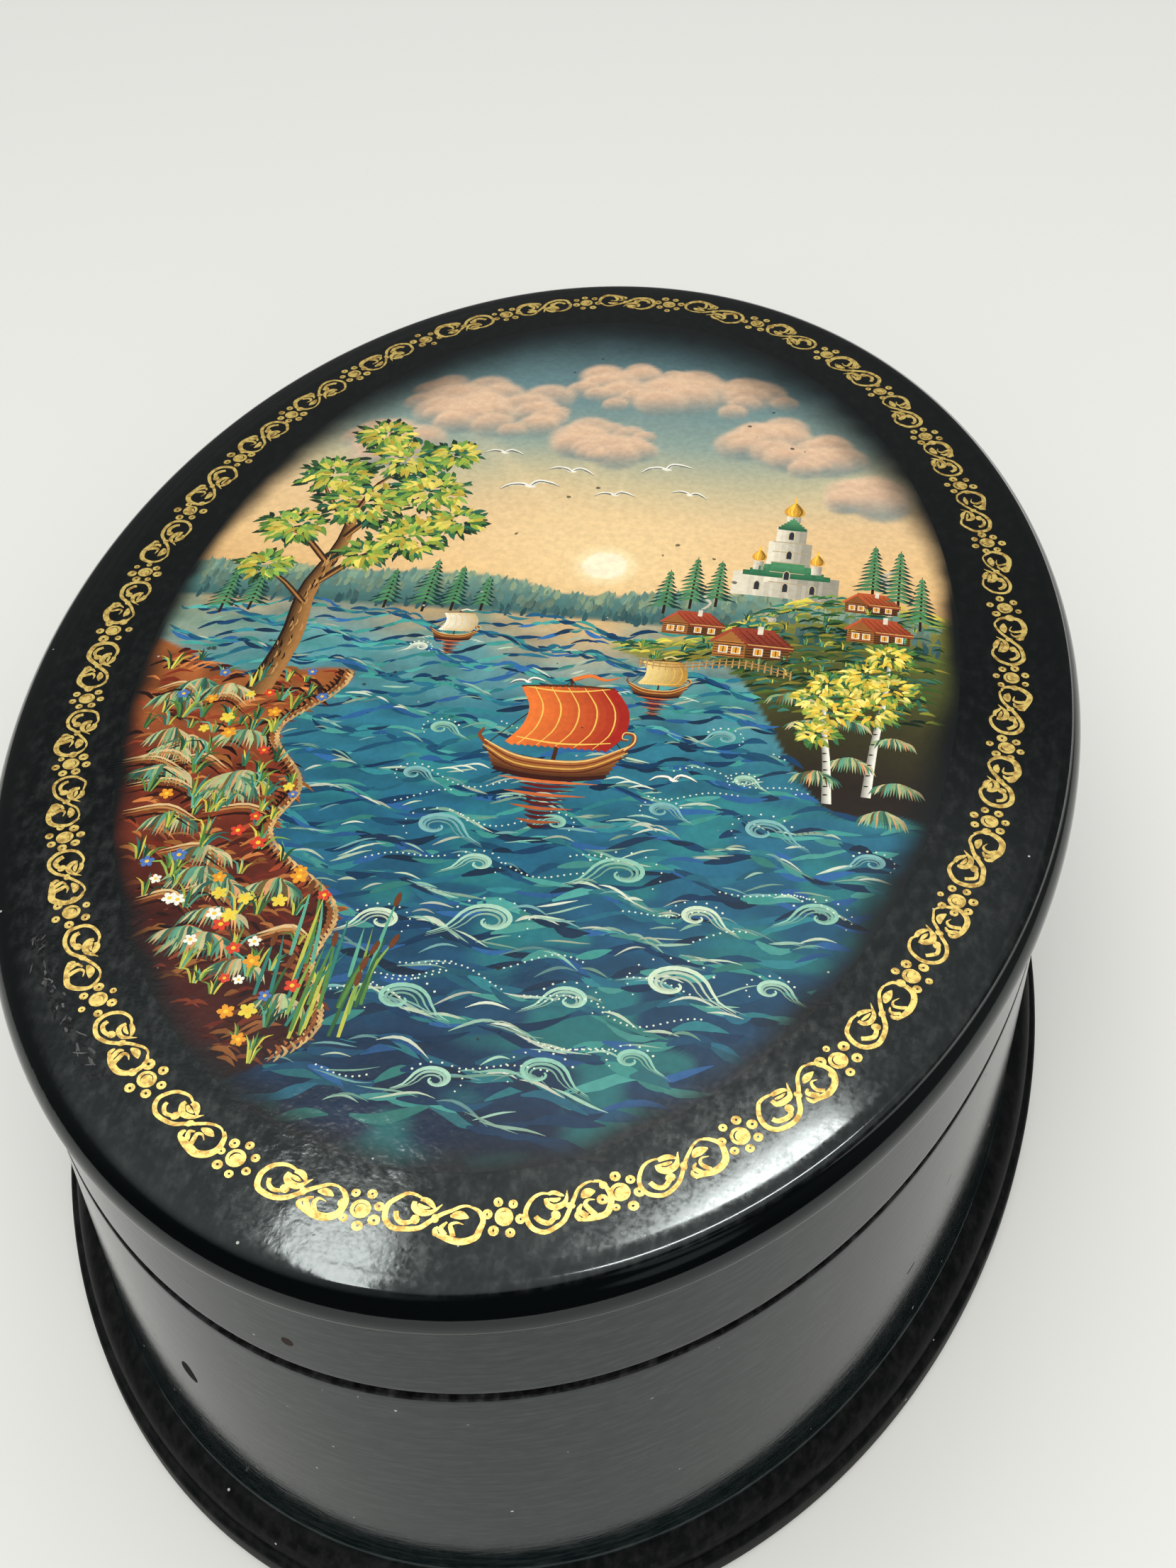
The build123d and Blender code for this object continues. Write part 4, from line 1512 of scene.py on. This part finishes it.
def boat(x, y, size, sail, lit):
    """A boat with a curled stem, a bellied sail and ropes, and its broken image in the water."""
    def at(points):
        return np.array(points, float) * size + (x, y)

    def line(points, width, *shape):
        stroke(at(points), width * size, *shape)

    for k in range(11):
        drop = -1.9 - 0.5 * k
        half = 4.2 * (1 - 0.06 * k) * (0.75 + 0.25 * cos(2.1 * k))
        tint = hue("6a1d18" if k % 3 else "d8703a") * (1 - 0.05 * k)
        line([(-half + 0.4, drop), (0, drop - 0.22), (half, drop)], 0.36, tint, 5, 9, 0.1, 0.05)
    filled(at([(-5.6, 1.9), (-3, 0.5), (0, 0.15), (3, 0.6), (5.9, 2.6)]),
           at([(-4.4, -1.0), (-2.5, -1.5), (0, -1.7), (2.6, -1.45), (4.7, -0.9)]),
           8, "b9743a", "3a1710", 6, 14, (0.7, 0.7))
    for k, tint in enumerate(("f0c878", "7c3a1c", "e0a850", "5a2413")):
        drop = -0.42 * k
        plank = [(-5.7, 2.1 + 0.7 * drop), (-3, 0.62 + drop), (0, 0.28 + drop), (3, 0.72 + drop),
                 (6.0, 2.8 + 0.9 * drop)]
        line(plank, 0.17, tint, 7, 16, 0.7, 0.7)
    curl = at([(5.6, 2.2), (6.3, 3.2), (6.2, 4.2), (5.4, 4.3), (5.3, 3.6), (5.8, 3.5)])
    stroke(curl, 0.42 * size, "8a4620", 7, 18, 1.0, 0.4, 0.1)
    stroke(curl + (0.05, 0.08), 0.14 * size, "f0c878", 8, 18, 1.0, 0.4, 0.1)
    line([(-5.4, 1.6), (-6.2, 2.6), (-6.0, 3.5)], 0.36, "8a4620", 7, 8, 1.0, 0.5, 0.1)
    line([(0.2, 0.2), (0.3, 5), (0.2, 10.4)], 0.34, "4c2813", 6, 10, 1.0, 0.6, 0.1)
    left = at([(-3.5, 9.0), (-2.4, 6.6), (-2.6, 4.0), (-3.7, 1.9)])
    right = at([(3.5, 9.5), (5.0, 7.0), (5.1, 4.2), (3.9, 2.1)])
    filled(left, right, 15, lit, sail, 7, 12, (0.95, 0.95))
    left, right = smooth_line(left, 8), smooth_line(right, 8)
    for k in range(5):
        t = (k + 0.5) / 5
        stroke(left * (1 - t) + right * t, 0.13 * size, "f3c35a", 8, 12, 0.6, 0.5)
    for row in (0, 6):
        hem = [
            left[row] * (1 - t) + right[row] * t + (0, -0.5 * size * sin(pi * t))
            for t in np.linspace(0, 1, 6)
        ]
        stroke(hem, 0.2 * size, "f3c35a", 8, 12, 0.6, 0.5)
    line([(-3.9, 9.0), (0.2, 9.5), (3.9, 9.6)], 0.26, "5c3218", 8, 8, 0.7, 0.7)
    for end in ((-5.4, 1.7), (5.4, 2.4)):
        line([(0.2, 10.2), end], 0.08, "3a2010", 6, 8, 0.9, 0.9)
    line([(0.2, 10.3), (1.6, 11.0), (2.9, 10.6), (4.1, 11.1)], 0.4, lit, 8, 10, 0.9, 0.05, 0.2)
    for side in (-1, 1):
        for k in range(3):
            wake = [(side * (out + k), up - 0.35 * k) for out, up in ((4.6, -1.2), (5.6, -0.8), (6.8, -1.1))]
            line(wake, 0.2, "dfe8d0", 6, 7, 0.1, 0.1)


boat(2.5, -16.0, 1.0, "a8261c", "ee7a35")
boat(-8.6, -1.2, 0.34, "c9b48c", "f6efd8")
boat(9.8, -6.2, 0.42, "b98a3c", "f0d890")
for x, y, size, turn in (
    (-6, 22, 1.5, 0.2), (-2.5, 25, 1.2, -0.1), (2.2, 21.5, 1.0, 0.1), (6.5, 26.5, 1.3, 0.3),
    (-9.5, 27.5, 1.0, 0.0), (9.2, 22.5, 0.9, -0.2), (-1, -6.4, 0.8, 0.2), (12.5, -16.5, 1.0, 0.1),
):
    for side in (-1, 1):
        wing = [(0, 0), (side * 0.55, 0.42 + 0.1 * side), (side * 1.3, 0.30), (side * 1.9, -0.12)]
        wing = turned(wing, turn, 0, 0) * size + (x, y)
        stroke(wing, 0.34 * size, "f7f2e2", 6, 9, 0.7, 0.03, 0.3)
        stroke(wing + (0, -0.12), 0.12 * size, "55666a", 7, 9, 0.5, 0.03, 0.3)
    body = [(x - 0.35 * size, y + 0.1), (x, y - 0.05), (x + 0.42 * size, y - 0.05)]
    stroke(body, 0.3 * size, "f7f2e2", 7, 5, 0.3, 0.2)
dried_picture("picture_boats")

# %% [markdown]
# ## Marks of use
# The box has been handled. A crescent nick and two small ones go into the black of the base, a brown spot
# and pale ticks lie on the walls, and the varnish has crumbled along the rim at the left. They are thin
# patches laid on the curved walls, told by their turn round the oval, their height and their two half sizes.

# %% Nicks, spots and crumbled varnish
hand = new_layer(61)


def mark(name, colour, roughness, body, spots):
    """Thin patches on a wall: turn in degrees, height, half length, half width, lean in degrees, bow."""
    corners, faces, mark_high, mark_low, n = [], [], 0.015, -0.05, 14
    for turn, height, length, width, lean, bow in spots:
        turn, lean, first = radians(turn), radians(lean), len(corners)
        for out in (mark_high, mark_low):
            for t in np.linspace(0, 2 * pi, n + 1)[:-1]:
                a, b = length * cos(t), width * sin(t)
                b += bow * length * (cos(t) ** 2 - 0.5)
                across = a * cos(lean) - b * sin(lean)
                z = height + a * sin(lean) + b * cos(lean)
                at = turn + across / np.hypot(wall_half[0] * sin(turn), wall_half[1] * cos(turn))
                corners.append(((wall_half[0] + out) * cos(at), (wall_half[1] + out) * sin(at), z))
        faces += [[first + k for k in face] for face in slab_faces(n)]
    finish, _, surface = material_of(name, colour, roughness)
    surface.inputs["Specular IOR Level"].default_value = 0.08
    settle(piece_from(name, corners, faces, finish), body, "black_lacquer")


mark("base_nicks", (0.0015, 0.0016, 0.0020), 0.7, "base", (
    (-114.6, 19.0, 1.05, 0.75, -62, 0.22), (-121.2, 10.2, 0.34, 0.07, -50, 0.1),
    (-38.0, 15.5, 0.6, 0.05, 20, 0.1),
))
mark("lid_spot", (0.026, 0.019, 0.015), 0.6, "lid", ((-99.5, 34.6, 0.46, 0.40, -28, 0.1),))
mark("base_ticks", (0.30, 0.31, 0.30), 0.5, "base", (
    (-97.3, 21.4, 0.10, 0.08, 0, 0), (-107.8, 10.8, 0.24, 0.03, -60, 0.3), (-33.0, 21.5, 0.5, 0.025, 38, 0.1),
    *((hand.uniform(-150, -20), hand.uniform(8, 30), hand.uniform(0.05, 0.16), 0.035,
       hand.uniform(-80, 80), 0.2) for k in range(16)),
))
for k in range(90):
    turn = radians(hand.uniform(-141, -124))
    share = 0.962 + 0.007 * hand.standard_normal()
    x, y = crown_half[0] * share * cos(turn), crown_half[1] * share * sin(turn)
    along = atan2(crown_half[1] * cos(turn), -crown_half[0] * sin(turn)) + 0.5 * hand.standard_normal()
    long, wide = hand.uniform(0.12, 0.46), hand.uniform(0.04, 0.13)
    turns_round = np.linspace(0, 2 * pi, 9)[:-1]
    ragged = 1 + 0.35 * hand.standard_normal(8)
    crumb = np.column_stack([long * ragged * np.cos(turns_round), wide * ragged * np.sin(turns_round)])
    grey = (0.001, 0.12)[hand.random() < 0.36] * hand.uniform(0.4, 1.0)
    patch(turned(crumb, along, x, y), (grey, grey * 1.02, grey), 2)
dried("rim_crumbs", tempera)

# %% [markdown]
# ## Sizes at the end
# The frame's box and the dressed model's box are both shown at the end. The dressed model has to stay
# inside the frame's box.

# %% Sizes, and the end
low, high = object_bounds()
{"cad": [list(cad_low), list(cad_high)], "visual": [list(low), list(high)]}
print("visual model from", [round(v / MM, 2) for v in low], "to", [round(v / MM, 2) for v in high], "mm")
